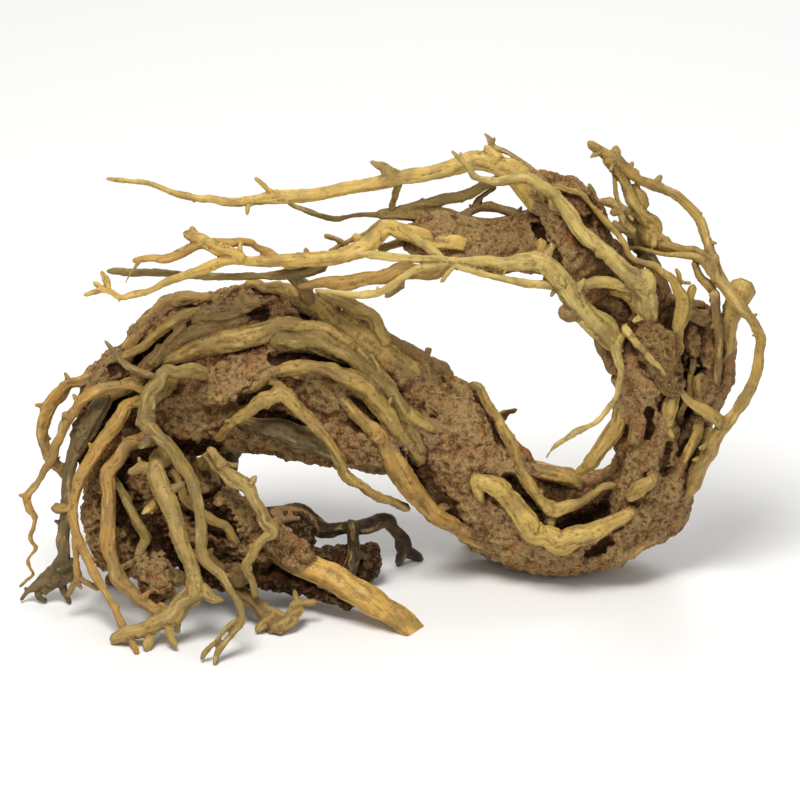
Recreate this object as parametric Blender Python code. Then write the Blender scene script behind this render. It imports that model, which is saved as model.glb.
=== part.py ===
"""Dry root: one grown piece of gnarled root wood, standing as it rests on a table.

Each root is laid out in the root's own broad plane, as points of (across, up, back, diameter) in
millimetres. Across runs to the right, up runs along the plane, back runs away from the front. The
plane then leans back by LEAN. All roots are closed into one skin, which is thinned to few faces and
cut flat where its belly and toes touch the table.
"""

from math import cos, radians, sin

import bmesh
import bpy
from mathutils import Matrix, Vector

MM = 0.001
LEAN = radians(25)  # how far the broad plane leans back from upright
SKIN_CELL = 1.3 * MM  # cell size of the skin grown over all roots
LEAST_DIAMETER = 3.4  # the thinnest twig that the skin still closes over, in mm
CONTACT_DEPTH = 1.9 * MM  # how much of the lowest toe the table flattens
MOST_FACES = 9800
ROUNDNESS = 3  # bevel resolution of a root's tube
SMOOTHNESS = 6  # steps between two points of a root

CROWN = {
    "long_back_root": [
        (-174, 287.5, -10, 2), (-150, 285, -7, 3), (-120, 276, -2, 4), (-104, 274, 0, 5), (-75, 276.5, 4, 8),
        (-50, 278.5, 6, 7.5), (-10, 286, 10, 8), (20, 291.5, 12, 9), (48, 299, 15, 12), (68, 292, 18, 17),
        (85, 270, 20, 20),
    ],
    "long_back_knob": [(54, 305, 15, 8), (58, 297, 16, 15)],
    "long_back_spur": [(-86, 288, 2, 2), (-76, 279, 4, 4)],
    "long_back_ear": [(-13, 297, 9, 3), (-4, 290, 10, 9)],
    "long_back_tie": [(-5, 271, 24, 4), (-1, 285, 12, 5)],
    "second_back_root": [
        (-64, 272.5, 27, 2), (-40, 264.5, 26, 3.5), (-10, 267, 26, 4), (10, 272, 27, 6), (40, 279, 29, 6),
        (60, 288, 28, 7),
    ],
    "arm_rim": [(-12, 267, 26, 6), (10, 267, 28, 9), (30, 266, 30, 9), (48, 259, 32, 9)],
    "fork_stub": [(34, 262, 33, 5), (44, 270, 35, 5), (53, 272, 35, 6), (70, 267, 35, 5.5), (84, 258, 34, 6)],
    "top_twig": [(51, 315, 25, 2), (55, 308, 24, 3), (72, 299, 22, 3), (84, 289, 20, 3)],
    "front_pale_root": [
        (31, 304, -10, 2), (38, 297, -9, 3), (44, 289, -8, 4), (58, 286, -7, 4.5), (76, 288, -5, 7),
        (88, 281, -1, 8), (97, 272, 2, 9), (106, 258, 1, 9), (120, 246, 0, 9.5), (134, 233, 3, 10),
        (145, 222, 8, 13), (148, 203, 20, 14),
    ],
    "front_pale_tie": [(92, 278, 2, 8), (98, 270, 14, 12)],
    "thin_right_root": [
        (93, 283, 8, 4), (108, 279, 10, 4), (118, 268, 12, 4), (130, 255, 13, 4), (137, 242, 14, 4),
        (152, 236, 15, 4), (163, 228, 17, 5), (169, 215, 20, 9), (166, 198, 26, 7), (167, 186, 34, 6),
    ],
    "thin_right_twig": [(113, 284, 10, 3), (118, 275, 11, 2), (126, 273, 12, 4), (133, 268, 13, 3), (138, 256, 14, 3)],
    "outer_loop_root": [
        (114, 309, 20, 5), (128, 300, 24, 8), (143, 288, 28, 6), (152, 284.5, 30, 6), (166, 278, 28, 6),
        (179, 265, 26, 5.5), (184, 250, 24, 6), (190, 230, 18, 9), (198, 218, 10, 8), (210, 205, 12, 7),
        (216.5, 194, 15, 8), (215, 176, 22, 7), (206, 155, 30, 8), (197, 143, 36, 9), (188, 130, 46, 9),
        (183, 120, 55, 9), (178, 105, 66, 7), (170, 92, 80, 6),
    ],
    "outer_loop_fork": [(193, 142, 37, 7), (175, 154, 34, 5.5), (165, 167, 33, 3.5)],
    "right_limb": [
        (134, 288, 30, 8), (140, 274, 32, 10), (151, 260, 35, 13), (150, 254, 34, 12), (163, 247, 30, 7),
        (178, 244, 24, 6), (188, 238, 18, 8),
    ],
    "right_limb_twig": [(126, 299, 26, 2), (130, 276, 28, 2.5), (139, 264, 31, 3)],
    "dark_limb": [(138, 266, 36, 7), (142, 250, 40, 9), (152, 237, 42, 9), (158, 222, 44, 8), (156, 200, 46, 8)],
    "cross_twig": [(138, 247, 34, 3), (160, 243, 24, 2.5), (180, 240, 18, 5), (192, 227, 17, 6)],
    "curl": [(176, 238, 22, 4), (180, 229, 24, 5), (187, 222, 24, 6)],
    "bulb": [(172, 208, 34, 7), (184, 205, 40, 9)],
    "knob_root": [(205, 223, 25, 17), (199, 210, 28, 12), (197, 186, 42, 8), (188, 176, 50, 6)],
    "inner_right_root": [(188, 219, 20, 7), (190, 200, 30, 6), (189, 176, 44, 4)],
    "blade_root": [(175, 223, 22, 5), (170, 207, 26, 8), (165, 188, 36, 5)],
    "front_arch_root": [
        (-26, 243, -22, 3), (-13, 242, -22, 6), (5, 240, -21, 5), (35, 238, -16, 5), (65, 237, -10, 8),
        (84, 238, -8, 12), (92, 232, -6, 11), (102, 218, 0, 13), (113, 205, 10, 13), (130, 192, 30, 14),
    ],
    "front_arch_knob": [(84, 250, -8, 5), (85, 240, -7, 9)],
    "front_arch_stub": [(97, 207, 2, 8), (106, 211, 4, 12)],
    "hollow_twig": [(0, 258, -15, 5), (12, 250, -16, 4.5), (25, 239, -18, 4.5)],
    "front_thin_root": [
        (-50, 221, -24, 2), (-30, 218.5, -24, 3.5), (-12, 220, -23, 5), (9, 233, -21, 4.5), (30, 237, -17, 4),
        (45, 232, -14, 4), (75, 225.5, -6, 5), (105, 223, 2, 5), (125, 226, 7, 7), (140, 224, 12, 9),
    ],
    "left_limb": [
        (34, 250, 24, 12), (12, 256, 18, 12), (-6, 260, 15, 15), (-20, 248, 12, 11), (-40, 241, 7, 8),
        (-70, 239, 0, 7), (-104, 239, -6, 6), (-125, 231, -9, 5.5), (-150, 220.5, -14, 4), (-166, 217, -16, 4),
        (-176, 221.5, -18, 4.5), (-187, 218.3, -20, 2),
    ],
    "left_limb_fork": [(-104, 241, -6, 5), (-115, 249, -5, 6), (-121, 254, -5, 6)],
    "left_limb_toe": [(-173, 221, -17, 4), (-177, 232, -18, 3)],
    "golden_limb": [
        (-158, 239, -2, 3), (-140, 240, -4, 6), (-120, 248.5, -3, 7), (-90, 250, 4, 6), (-79, 244, 8, 6),
        (-65, 237, 12, 6), (-48, 237, 12, 7),
    ],
    "straight_limb": [
        (-174, 233, 8, 3), (-160, 232, 9, 5.5), (-125, 230, 12, 4.5), (-85, 230, 14, 4), (-62, 232.5, 18, 8),
        (-46, 237, 14, 9),
    ],
    "limb_to_ridge": [(-64, 231, 18, 7), (-57, 224, 34, 9), (-52, 212, 48, 10)],
    "dark_twig": [(-12, 262, 16, 4), (-20, 256, 15, 3), (-42, 245, 13, 3)],
    "dark_spurs": [(-44, 254, 13, 3), (-33, 249, 13, 4)],
    "under_limb": [(-47, 226, 10, 7), (-30, 226, 10, 9), (-12, 229, 8, 8), (0, 233, 8, 11), (20, 232, 16, 8), (36, 242, 24, 10)],
    "under_limb_toe": [(-10, 217, 6, 5), (0, 226, 8, 8)],
    "crusted_arm": [(10, 253, 24, 18), (22, 252, 28, 26), (45, 248, 31, 25), (70, 248, 33, 27), (94, 250, 33, 32)],
    "crusted_head": [
        (84, 282, 20, 16), (97, 275, 22, 26), (106, 260, 25, 34), (110, 248, 28, 38), (117, 236, 31, 38),
        (124, 223, 34, 38), (133, 211, 38, 38), (141, 196, 42, 42),
    ],
}

RIDGE = {
    "slab": [
        (-190, 166, 56, 18), (-168, 170, 62, 34), (-140, 168, 66, 52), (-115, 171, 70, 58), (-90, 172, 72, 60),
        (-65, 171, 70, 54), (-45, 162, 68, 44), (-28, 151, 69, 42), (-12, 142, 70, 42), (6, 134, 74, 44),
        (28, 130, 80, 52),
    ],
    "upper_slab": [
        (-158, 186, 58, 26), (-140, 196, 60, 34), (-115, 202, 60, 36), (-90, 208, 58, 34), (-65, 204, 58, 34),
        (-45, 194, 58, 28), (-25, 181, 60, 26), (-5, 167, 62, 24), (14, 156, 66, 24),
    ],
    "left_edge": [(-160, 178, 52, 20), (-176, 168, 52, 18), (-184, 150, 56, 22), (-186, 130, 56, 20), (-178, 108, 56, 20)],
    "top_rib": [
        (-90, 226, 50, 5), (-70, 222, 48, 7), (-52, 213, 46, 9), (-30, 196, 45, 12), (-10, 183, 46, 13),
        (8, 171, 50, 9), (20, 160, 58, 7),
    ],
    "second_rib": [(-48, 220, 46, 6), (-30, 213, 44, 8), (-17, 206, 44, 8), (-9, 190, 46, 8)],
    "right_rib": [(-8, 192, 48, 8), (10, 183, 52, 8), (29, 174, 56, 8)],
    "right_rib_tie": [(16, 178, 54, 8), (18, 166, 60, 12)],
    "left_top_rib": [(-100, 218, 54, 6), (-122, 217, 50, 7), (-140, 214, 50, 8), (-153, 202, 50, 8), (-162, 188, 50, 8)],
    "left_rib": [(-98, 224, 48, 2), (-110, 212, 46, 4), (-128, 207, 44, 9), (-145, 196, 43, 5), (-165, 181, 44, 5)],
    "left_broad_rib": [(-84, 215, 48, 6), (-105, 208, 42, 8), (-122, 206, 43, 8)],
    "cavity_rib": [(-95, 203, 42, 7), (-120, 197, 38, 8), (-142, 185, 41, 6)],
    "middle_rib": [
        (-142, 179, 40, 5), (-120, 187, 36, 8), (-90, 194, 35, 9), (-70, 201, 36, 6), (-42, 197, 38, 5),
        (-25, 184, 42, 5), (-4, 162, 46, 5),
    ],
    "inner_rib": [
        (-74, 192, 38, 6), (-50, 192, 33, 8), (-30, 182, 34, 7), (-10, 165, 38, 6), (3, 148, 44, 6), (13, 126, 54, 5),
    ],
    "lower_rib": [
        (-94, 162, 40, 5), (-78, 171, 36, 5), (-60, 175, 34, 7), (-42, 174, 34, 7), (-22, 165, 36, 10),
        (-8, 148, 42, 9), (2, 132, 50, 8), (12, 120, 58, 6),
    ],
    "front_arch": [
        (-108, 134, 44, 6), (-100, 143, 34, 6), (-82, 156, 26, 9), (-70, 160, 25, 10), (-56, 146, 27, 8),
        (-40, 127, 31, 5.5), (-33, 111, 38, 8), (-16, 99, 50, 6), (4, 91, 66, 6),
    ],
    "crossing_rib": [
        (-27, 148, 44, 6), (-15, 137, 45, 9), (-3, 118, 50, 14), (9, 100, 58, 13), (22, 86, 66, 11),
        (40, 77.5, 76, 7), (52, 76, 82, 6),
    ],
    "short_rib": [(2, 152, 48, 6), (15, 144, 52, 6), (30, 140, 56, 6)],
    "under_beam": [
        (-150, 136, 60, 24), (-125, 130, 62, 18), (-105, 129, 62, 13), (-85, 131, 60, 13), (-65, 127, 60, 12),
        (-45, 123, 60, 11), (-25, 123, 62, 18), (0, 120, 68, 22),
    ],
}

LEGS = {
    "crust_strip": [(-180, 118, 54, 18), (-185, 95, 50, 13), (-183, 72, 46, 10), (-177, 54, 38, 7)],
    "low_bulge": [(-148, 68, 52, 34), (-147, 47, 36, 20), (-139, 36, 22, 12)],
    "outer_loop_leg": [
        (-186, 168, 54, 9), (-198, 166, 54, 7), (-211, 152, 56, 8), (-215, 135, 56, 8), (-209, 119, 56, 8),
        (-200, 111, 57, 8), (-188, 106, 58, 8),
    ],
    "twisting_leg": [
        (-150, 160, 26, 5), (-162, 165, 26, 6), (-178, 163, 30, 6), (-192, 154, 34, 6), (-198, 146, 38, 7),
        (-203, 135, 41, 5.5), (-209, 120, 45, 6), (-217, 107, 48, 4), (-224, 98, 50, 5), (-219.5, 85, 54, 3),
        (-222, 73, 57, 3), (-219, 67, 60, 3), (-224, 59, 63, 2), (-221, 51, 67, 2), (-229, 43.5, 72, 1.5),
    ],
    "gray_leg": [
        (-180, 156, 46, 9), (-190, 140, 46, 9), (-197, 120, 50, 8), (-200, 100, 55, 7.5), (-202, 80, 60, 7.5),
        (-202, 62, 63, 8), (-206, 52, 66, 12), (-215, 47, 67, 9), (-224, 41, 68, 4), (-228, 36, 69, 3),
    ],
    "gray_toe": [(-214, 47, 67, 7), (-218, 38, 68, 4), (-214, 35, 69, 3)],
    "long_leg": [
        (-150, 158, 30, 9), (-163, 153, 27, 8), (-172, 139, 26, 9), (-182, 125, 28, 8), (-192, 108, 30, 7),
        (-196, 93, 34, 6), (-194, 77, 34, 5.5), (-187, 61, 32, 5.5), (-180, 47, 28, 5), (-171, 32, 24, 4.5),
        (-164, 17, 18, 4), (-157, 5.5, 7, 3.5),
    ],
    "long_leg_fork": [(-194, 75, 34, 5), (-194, 60, 36, 4), (-193, 50, 38, 5), (-199, 39, 42, 3)],
    "golden_leg": [
        (-148, 134, 40, 10), (-163, 129, 29, 8), (-175, 112, 27, 9.5), (-174.5, 92, 25, 8.5), (-174.5, 68, 23, 9),
        (-168, 49, 21, 9), (-155, 36, 18, 8), (-142, 29, 14, 6),
    ],
    "front_leg": [
        (-118, 172, 26, 9), (-128, 173, 16, 8), (-140, 173, 14, 8), (-149, 160, 12, 10), (-151, 142, 9, 11),
        (-137, 128, 6, 7), (-125, 110, 4, 7), (-119, 86, 2, 7), (-118, 65, 0, 6.5), (-106, 51, -2, 5),
        (-97, 37, -3, 4.5), (-94, 25, -4, 5), (-102, 14, -5, 4), (-109, 5, -5, 4), (-110, -1, -6, 3),
    ],
    "front_leg_loop": [(-95, 26, -4, 4), (-106, 17, -6, 3), (-114, 8, -5, 3), (-118, 2, -4, 3)],
    "front_leg_tie": [(-148, 157, 13, 10), (-145, 163, 28, 13), (-140, 167, 46, 16)],
    "front_leg_twig": [(-176, 191, 16, 2), (-165, 178, 14, 4), (-148, 170, 13, 5)],
    "pale_foot": [
        (-143, 122, 42, 14), (-145, 120, 26, 10), (-146, 114, 17, 11), (-138, 95, 13, 11), (-130, 70, 9, 9.5),
        (-123, 50, 8, 9), (-122, 42, 9, 12), (-135, 28, 11, 13), (-153, 19, 14, 9.5), (-171, 13, 18, 7),
    ],
    "pale_foot_horn": [(-146, 114, 17, 8), (-161, 114, 15, 4)],
    "pale_foot_front_toe": [(-150, 19, 14, 6), (-151, 8, 10, 5)],
    "pale_foot_side_toe": [(-138, 24, 11, 8), (-134, 9, 9, 3)],
    "pale_foot_web": [(-120, 44, 9, 9), (-107, 35, 8, 5)],
    "pale_foot_arm": [(-122, 46, 9, 7), (-138, 46, 7, 6)],
    "bent_leg": [
        (-118, 118, 44, 9), (-113, 121, 26, 8), (-105, 113, 18, 9), (-91, 104, 14, 9), (-83, 90, 14, 8),
        (-76, 78, 15, 8), (-87, 67, 17, 6), (-92, 56, 20, 6.5), (-87, 40, 26, 5),
    ],
    "bent_leg_tie": [(-92, 54, 20, 6), (-96, 48, 34, 10), (-98, 52, 48, 18)],
    "sawn_stick": [(-88, 74, 50, 14), (-70, 62, 45, 14), (-50, 52, 41, 15), (-30, 40, 37, 15.5), (-10, 28, 34, 16), (8, 18.5, 34, 5)],
    "rear_dark_leg": [
        (-85, 84, 76, 12), (-62, 87, 88, 13), (-45, 77, 93, 9), (-22, 79, 100, 9), (-8, 83, 107, 9),
        (1, 72, 114, 8.5), (3, 65, 118, 9), (12, 60, 122, 5),
    ],
    "rear_dark_toe": [(2, 68, 115, 7), (-1, 57, 116, 5)],
    "rear_dark_drop": [(-29, 78, 96, 9), (-30, 60, 86, 9), (-38, 46, 62, 9)],
    "rear_crust_web": [(-62, 84, 84, 14), (-60, 68, 74, 16), (-50, 56, 62, 12), (-34, 54, 66, 10)],
    "rear_stub": [(-24, 76, 98, 10), (-21, 62, 94, 20), (-20, 54, 92, 20)],
    "hidden_link": [(-122, 112, 66, 12), (-105, 93, 75, 11), (-82, 86, 84, 10)],
    "clawed_leg": [(-102, 48, 46, 12), (-87, 34, 36, 8), (-75, 22, 31, 9), (-71, 18, 29, 7)],
    "claw": [(-84, 32, 35, 6), (-68, 26, 33, 5), (-62, 34, 36, 4), (-63, 41, 37, 3)],
    "claw_tip": [(-64, 33, 36, 6), (-51, 35, 38, 4)],
    "claw_toe": [(-76, 26, 33, 8), (-85, 19, 30, 5)],
    "crusted_leg": [(-98, 60, 60, 20), (-70, 46, 54, 14), (-55, 43, 50, 10), (-28, 31, 40, 7)],
    "lower_block": [(-168, 92, 54, 32), (-148, 82, 60, 46), (-125, 76, 62, 50), (-100, 70, 60, 44), (-76, 64, 55, 28)],
    "middle_block": [(-155, 140, 60, 26), (-152, 118, 60, 40), (-138, 106, 62, 44), (-116, 98, 66, 34)],
}

TRUNK = {
    "trunk": [
        (24, 160, 62, 30), (28, 145, 72, 50), (35, 124, 82, 63), (52, 103, 91, 68), (72, 86, 96, 67),
        (95, 79, 99, 64), (120, 83, 96, 62), (140, 94, 90, 58), (148, 109, 84, 48), (147, 125, 74, 38),
        (144, 140, 64, 32), (146, 155, 56, 32), (147, 170, 50, 38), (144, 186, 45, 42),
    ],
    "outer_column": [(186, 206, 42, 14), (190, 188, 48, 20), (190, 172, 52, 20), (185, 155, 60, 18), (172, 136, 70, 22), (152, 118, 80, 26)],
    "column_back_wall": [(172, 190, 58, 18), (172, 166, 66, 20), (166, 145, 74, 22)],
    "outer_rim": [(146, 74, 92, 24), (162, 86, 86, 26), (167, 104, 78, 20), (172, 124, 68, 14)],
    "column_bridge": [(150, 196, 46, 30), (170, 194, 46, 18), (186, 196, 46, 14)],
    "front_column": [(149, 202, 28, 12), (155, 180, 32, 12), (158, 170, 36, 13), (160, 155, 42, 11), (160, 140, 50, 9), (155, 128, 60, 10)],
    "inner_column_rib": [(134, 160, 46, 5), (137, 145, 46, 8), (137, 132, 52, 8)],
    "inner_loop_rib": [(135, 152, 52, 7), (127, 135, 50, 9), (113, 117, 58, 8), (102, 112, 68, 7)],
    "inner_edge_root": [
        (48, 162, 62, 5), (57, 146, 60, 6), (68, 130, 62, 10), (72, 112, 64, 8), (83, 97, 67, 7),
        (92, 90, 70, 9), (108, 94, 68, 7), (124, 104, 64, 5),
    ],
    "belly_root": [
        (44, 107, 60, 7), (58, 104, 58, 9), (71, 90, 65, 8), (80, 75, 74, 10), (97, 70, 77, 13),
        (115, 76, 74, 9), (138, 88, 68, 4),
    ],
    "outer_rib": [(177, 137, 58, 7), (170, 122, 62, 6), (163, 103, 68, 6), (157, 88, 78, 6)],
    "loop_top_rib": [(117, 200, 36, 8), (121, 186, 38, 6), (128, 174, 44, 6)],
    "hanging_root": [
        (138, 202, 30, 7), (129, 188, 20, 6.5), (132, 172, 12, 3.5), (129, 158, 5, 3), (119, 145, -2, 3),
        (107, 138, -6, 4.5), (97, 132, -9, 3), (87, 121.5, -12, 2),
    ],
    "hanging_root_fork": [(134, 199, 24, 5), (143, 188, 27, 3.5), (151, 178, 34, 4)],
    "loop_sill": [(66, 124, 84, 16), (78, 112, 92, 14), (98, 104, 96, 12)],
}

REAR = {
    "rear_long_root": [
        (-188, 160, 70, 9), (-140, 184, 92, 12), (-90, 190, 100, 14), (-40, 176, 98, 14), (0, 156, 98, 15),
        (40, 136, 114, 15), (72, 106, 126, 14), (105, 92, 128, 13), (140, 102, 114, 12), (166, 124, 96, 10),
        (184, 152, 76, 10),
    ],
    "rear_low_root": [
        (-172, 138, 74, 10), (-120, 148, 98, 12), (-70, 152, 100, 13), (-20, 128, 94, 13), (20, 112, 108, 13),
        (60, 84, 122, 12), (100, 74, 126, 12), (135, 88, 118, 10),
    ],
    "left_rear_foot": [(-92, 160, 96, 16), (-104, 126, 106, 15), (-110, 102, 122, 12), (-113, 84, 136, 10), (-119, 68, 139, 8)],
    "right_rear_foot": [(50, 116, 112, 18), (48, 96, 130, 13), (47, 82, 142, 10), (46, 70.5, 142, 8)],
    "rear_toe": [(-146, 88, 78, 18), (-164, 62, 88, 10), (-176, 47, 92, 6)],
    "rear_head_root": [(92, 276, 36, 12), (118, 242, 50, 14), (140, 206, 62, 14), (160, 172, 70, 12), (168, 136, 84, 12)],
    "rear_arm_root": [(88, 258, 44, 12), (40, 256, 44, 9), (4, 252, 34, 7), (-12, 246, 26, 4)],
}


def plane_to_world(across, up, back):
    """A point of the root's broad plane, in mm, as world metres."""
    return MM * Vector((across, up * sin(LEAN) + back * cos(LEAN), up * cos(LEAN) - back * sin(LEAN)))


def add_root(name, points):
    """A root as a closed tube that swells and tapers through its points."""
    curve = bpy.data.curves.new(name, "CURVE")
    curve.dimensions = "3D"
    curve.resolution_u = SMOOTHNESS
    curve.bevel_depth = MM
    curve.bevel_resolution = ROUNDNESS
    curve.use_fill_caps = True
    spline = curve.splines.new("BEZIER")
    spline.bezier_points.add(len(points) - 1)
    for knot, (across, up, back, diameter) in zip(spline.bezier_points, points):
        knot.co = plane_to_world(across, up, back)
        knot.radius = max(diameter, LEAST_DIAMETER) / 2
        knot.handle_left_type = knot.handle_right_type = "AUTO"
    root = bpy.data.objects.new(name, curve)
    bpy.context.scene.collection.objects.link(root)
    return root


def add_swelling(name, point):
    """A lump around one point of a root, which rounds off the tube's flat end there."""
    across, up, back, diameter = point
    bpy.ops.mesh.primitive_uv_sphere_add(
        segments=12, ring_count=8, radius=MM * max(diameter, LEAST_DIAMETER) / 2,
        location=plane_to_world(across, up, back),
    )
    swelling = bpy.context.object
    swelling.name = name
    return swelling


def joined(pieces):
    """The pieces as one mesh object, still as separate overlapping tubes."""
    bpy.ops.object.select_all(action="DESELECT")
    for piece in pieces:
        piece.select_set(True)
    bpy.context.view_layer.objects.active = pieces[0]
    bpy.ops.object.convert(target="MESH")
    bpy.ops.object.join()
    bpy.ops.object.transform_apply(location=True, rotation=True, scale=True)
    return bpy.context.object


def grow_skin(obj):
    """Closes all tubes into one skin and thins it to few faces."""
    skin = obj.modifiers.new("skin", "REMESH")
    skin.mode = "VOXEL"
    skin.voxel_size = SKIN_CELL
    bpy.ops.object.modifier_apply(modifier=skin.name)
    thin = obj.modifiers.new("thin", "DECIMATE")
    thin.ratio = MOST_FACES / (2 * len(obj.data.polygons))
    thin.use_collapse_triangulate = True
    bpy.ops.object.modifier_apply(modifier=thin.name)


def keep_largest_body(mesh):
    """Drops every loose crumb that the skin closed over by itself."""
    unseen = set(mesh.verts)
    bodies = []
    while unseen:
        body = {unseen.pop()}
        edge = list(body)
        while edge:
            for link in edge.pop().link_edges:
                for vert in link.verts:
                    if vert in unseen:
                        unseen.remove(vert)
                        body.add(vert)
                        edge.append(vert)
        bodies.append(body)
    bodies.sort(key=len)
    for crumb in bodies[:-1]:
        bmesh.ops.delete(mesh, geom=list(crumb), context="VERTS")


def flatten_contacts(mesh):
    """Cuts the lowest parts flat, where they stand on the table, and moves the cut to z = 0."""
    height = min(vert.co.z for vert in mesh.verts) + CONTACT_DEPTH
    geometry = mesh.verts[:] + mesh.edges[:] + mesh.faces[:]
    bmesh.ops.bisect_plane(
        mesh, geom=geometry, plane_co=(0, 0, height), plane_no=(0, 0, 1), clear_inner=True, dist=1e-7
    )
    rim = [edge for edge in mesh.edges if edge.is_boundary]
    bmesh.ops.triangle_fill(mesh, edges=rim, use_beauty=True, normal=(0, 0, -1))
    return height


def centre_on_footprint(mesh):
    """Moves the body so that the origin is the middle of the bottom of its box."""
    lows = [min(vert.co[axis] for vert in mesh.verts) for axis in range(3)]
    highs = [max(vert.co[axis] for vert in mesh.verts) for axis in range(3)]
    middle = Vector(((lows[0] + highs[0]) / 2, (lows[1] + highs[1]) / 2, lows[2]))
    bmesh.ops.transform(mesh, matrix=Matrix.Translation(-middle), verts=mesh.verts[:])
    print("moved by", [round(-1000 * value, 2) for value in middle], "mm")


def wood_material():
    material = bpy.data.materials.new("weathered_wood")
    material.use_nodes = True
    shader = material.node_tree.nodes["Principled BSDF"]
    shader.inputs["Base Color"].default_value = (0.36, 0.26, 0.15, 1)
    shader.inputs["Roughness"].default_value = 0.8
    shader.inputs["Metallic"].default_value = 0
    return material


def build_dry_root():
    pieces = []
    for group in (CROWN, RIDGE, LEGS, TRUNK, REAR):
        for name, points in group.items():
            pieces.append(add_root(name, points))
            pieces.append(add_swelling(name + "_start", points[0]))
            pieces.append(add_swelling(name + "_end", points[-1]))
    root = joined(pieces)
    root.name = root.data.name = "dry_root"
    grow_skin(root)
    mesh = bmesh.new()
    mesh.from_mesh(root.data)
    keep_largest_body(mesh)
    flatten_contacts(mesh)
    centre_on_footprint(mesh)
    bmesh.ops.triangulate(mesh, faces=mesh.faces[:])
    bmesh.ops.recalc_face_normals(mesh, faces=mesh.faces[:])
    mesh.to_mesh(root.data)
    mesh.free()
    root.data.materials.clear()
    root.data.materials.append(wood_material())


for leftover in list(bpy.data.objects):
    bpy.data.objects.remove(leftover)
build_dry_root()
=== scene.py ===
import random
from math import cos, pi, radians, sin

import bpy
import numpy as np
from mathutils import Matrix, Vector


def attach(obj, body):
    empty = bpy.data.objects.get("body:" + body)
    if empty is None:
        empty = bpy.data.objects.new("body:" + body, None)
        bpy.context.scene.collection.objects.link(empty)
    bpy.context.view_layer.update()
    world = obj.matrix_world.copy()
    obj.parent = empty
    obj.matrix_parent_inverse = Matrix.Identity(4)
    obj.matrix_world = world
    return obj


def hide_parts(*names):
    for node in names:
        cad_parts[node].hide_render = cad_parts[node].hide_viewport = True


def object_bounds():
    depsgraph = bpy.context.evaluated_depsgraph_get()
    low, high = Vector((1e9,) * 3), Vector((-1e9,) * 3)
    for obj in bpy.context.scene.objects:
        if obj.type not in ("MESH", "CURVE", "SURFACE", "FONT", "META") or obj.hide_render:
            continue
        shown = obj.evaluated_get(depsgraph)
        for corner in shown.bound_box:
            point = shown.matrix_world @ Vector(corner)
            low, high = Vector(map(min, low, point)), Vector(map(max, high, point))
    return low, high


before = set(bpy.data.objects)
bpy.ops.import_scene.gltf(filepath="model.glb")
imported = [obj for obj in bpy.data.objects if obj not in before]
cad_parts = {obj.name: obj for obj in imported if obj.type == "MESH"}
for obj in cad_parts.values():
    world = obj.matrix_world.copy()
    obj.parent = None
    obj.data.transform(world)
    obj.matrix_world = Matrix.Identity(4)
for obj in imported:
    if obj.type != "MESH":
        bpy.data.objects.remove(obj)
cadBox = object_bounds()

bpy.ops.object.select_all(action="DESELECT")

# Every root is a tone and then points (across, up, back, thickness) in mm in the root's own broad plane.
# Across runs to the right, up along the plane, back away from the front. The plane leans back.
# A form of the crust has a tint in the tone's place. Without one, a root or form has the usual one.
lay = {
    "lean": radians(25),
    "origin": Vector((0.00496, -0.08536, -0.00115)),  # where the plane's zero point lies in the frame
    "seed": 11,
}

# Tones of bare wood, 0 to 255 per channel
tones = {
    "pale": (204, 172, 91),
    "cream": (194, 170, 97),
    "golden": (180, 142, 73),
    "sawn": (206, 165, 85),
    "usual": (174, 145, 76),
    "bone": (170, 144, 82),
    "olive": (145, 123, 65),
    "gray": (112, 97, 64),
    "brown": (130, 103, 56),
    "dark": (56, 40, 25),
    "soot": (86, 75, 52),
}

# Tints of the crust, that its own color is multiplied by. The shade tint is painted shade: darker crust on
# the forms at the back and underneath
tints = {
    "usual": (255, 255, 255),
    "shade": (100, 88, 79),
    "rusty": (255, 218, 180),
    "ashen": (225, 228, 220),
}

# Grooves and hollows in the crust: half width and depth in mm, then the (across, up) places along it
hollows = {
    "ridgeLeftPocket": (6, 9, (-108, 203), (-96, 207), (-84, 208)),
    "ridgeTopPocket": (5, 7, (-58, 207), (-50, 209)),
    "middlePocket": (5, 9, (-74, 182), (-58, 184), (-44, 181)),
    "middleSlit": (5, 8, (-46, 181), (-30, 176), (-14, 166)),
    "leftPocket": (8, 9, (-180, 152), (-168, 156)),
    "leftSlit": (5, 7, (-172, 176), (-150, 184)),
    "upperLeftPocket": (6, 9, (-150, 182), (-132, 191), (-114, 196)),
    "legPocket": (6, 10, (-138, 128), (-124, 126), (-112, 128)),
    "archPocket": (7, 9, (-86, 146), (-72, 143), (-62, 138)),
    "archSlit": (4, 6, (-95, 157), (-80, 166)),
    "bendSlit": (3.5, 7, (-8, 138), (0, 125), (8, 112), (14, 104)),
    "bendTopSlit": (3, 6, (-28, 157), (-18, 150)),
    "channel": (4.5, 11, (66, 108), (76, 94), (84, 83), (93, 77), (102, 80), (112, 85), (122, 91)),
    "bellyPocket": (4, 7, (114, 64), (125, 70)),
    "columnPocket": (7, 14, (176, 176), (170, 150)),
    "columnSlit": (2.5, 7, (150, 150), (149, 136)),
    "footPocket": (4, 7, (160, 128), (158, 114)),
    "crownSlit": (4, 8, (82, 260), (88, 248), (95, 238)),
    "crownPit": (5, 5, (109, 262), (112, 262)),
    "legHollow": (12, 10, (-154, 88), (-150, 72)),
    "legLowHollow": (8, 10, (-134, 62), (-120, 58)),
    "legSideHollow": (5, 9, (-168, 118), (-166, 84)),
    "beamHollow": (8, 9, (-118, 88), (-104, 80)),
}

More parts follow.
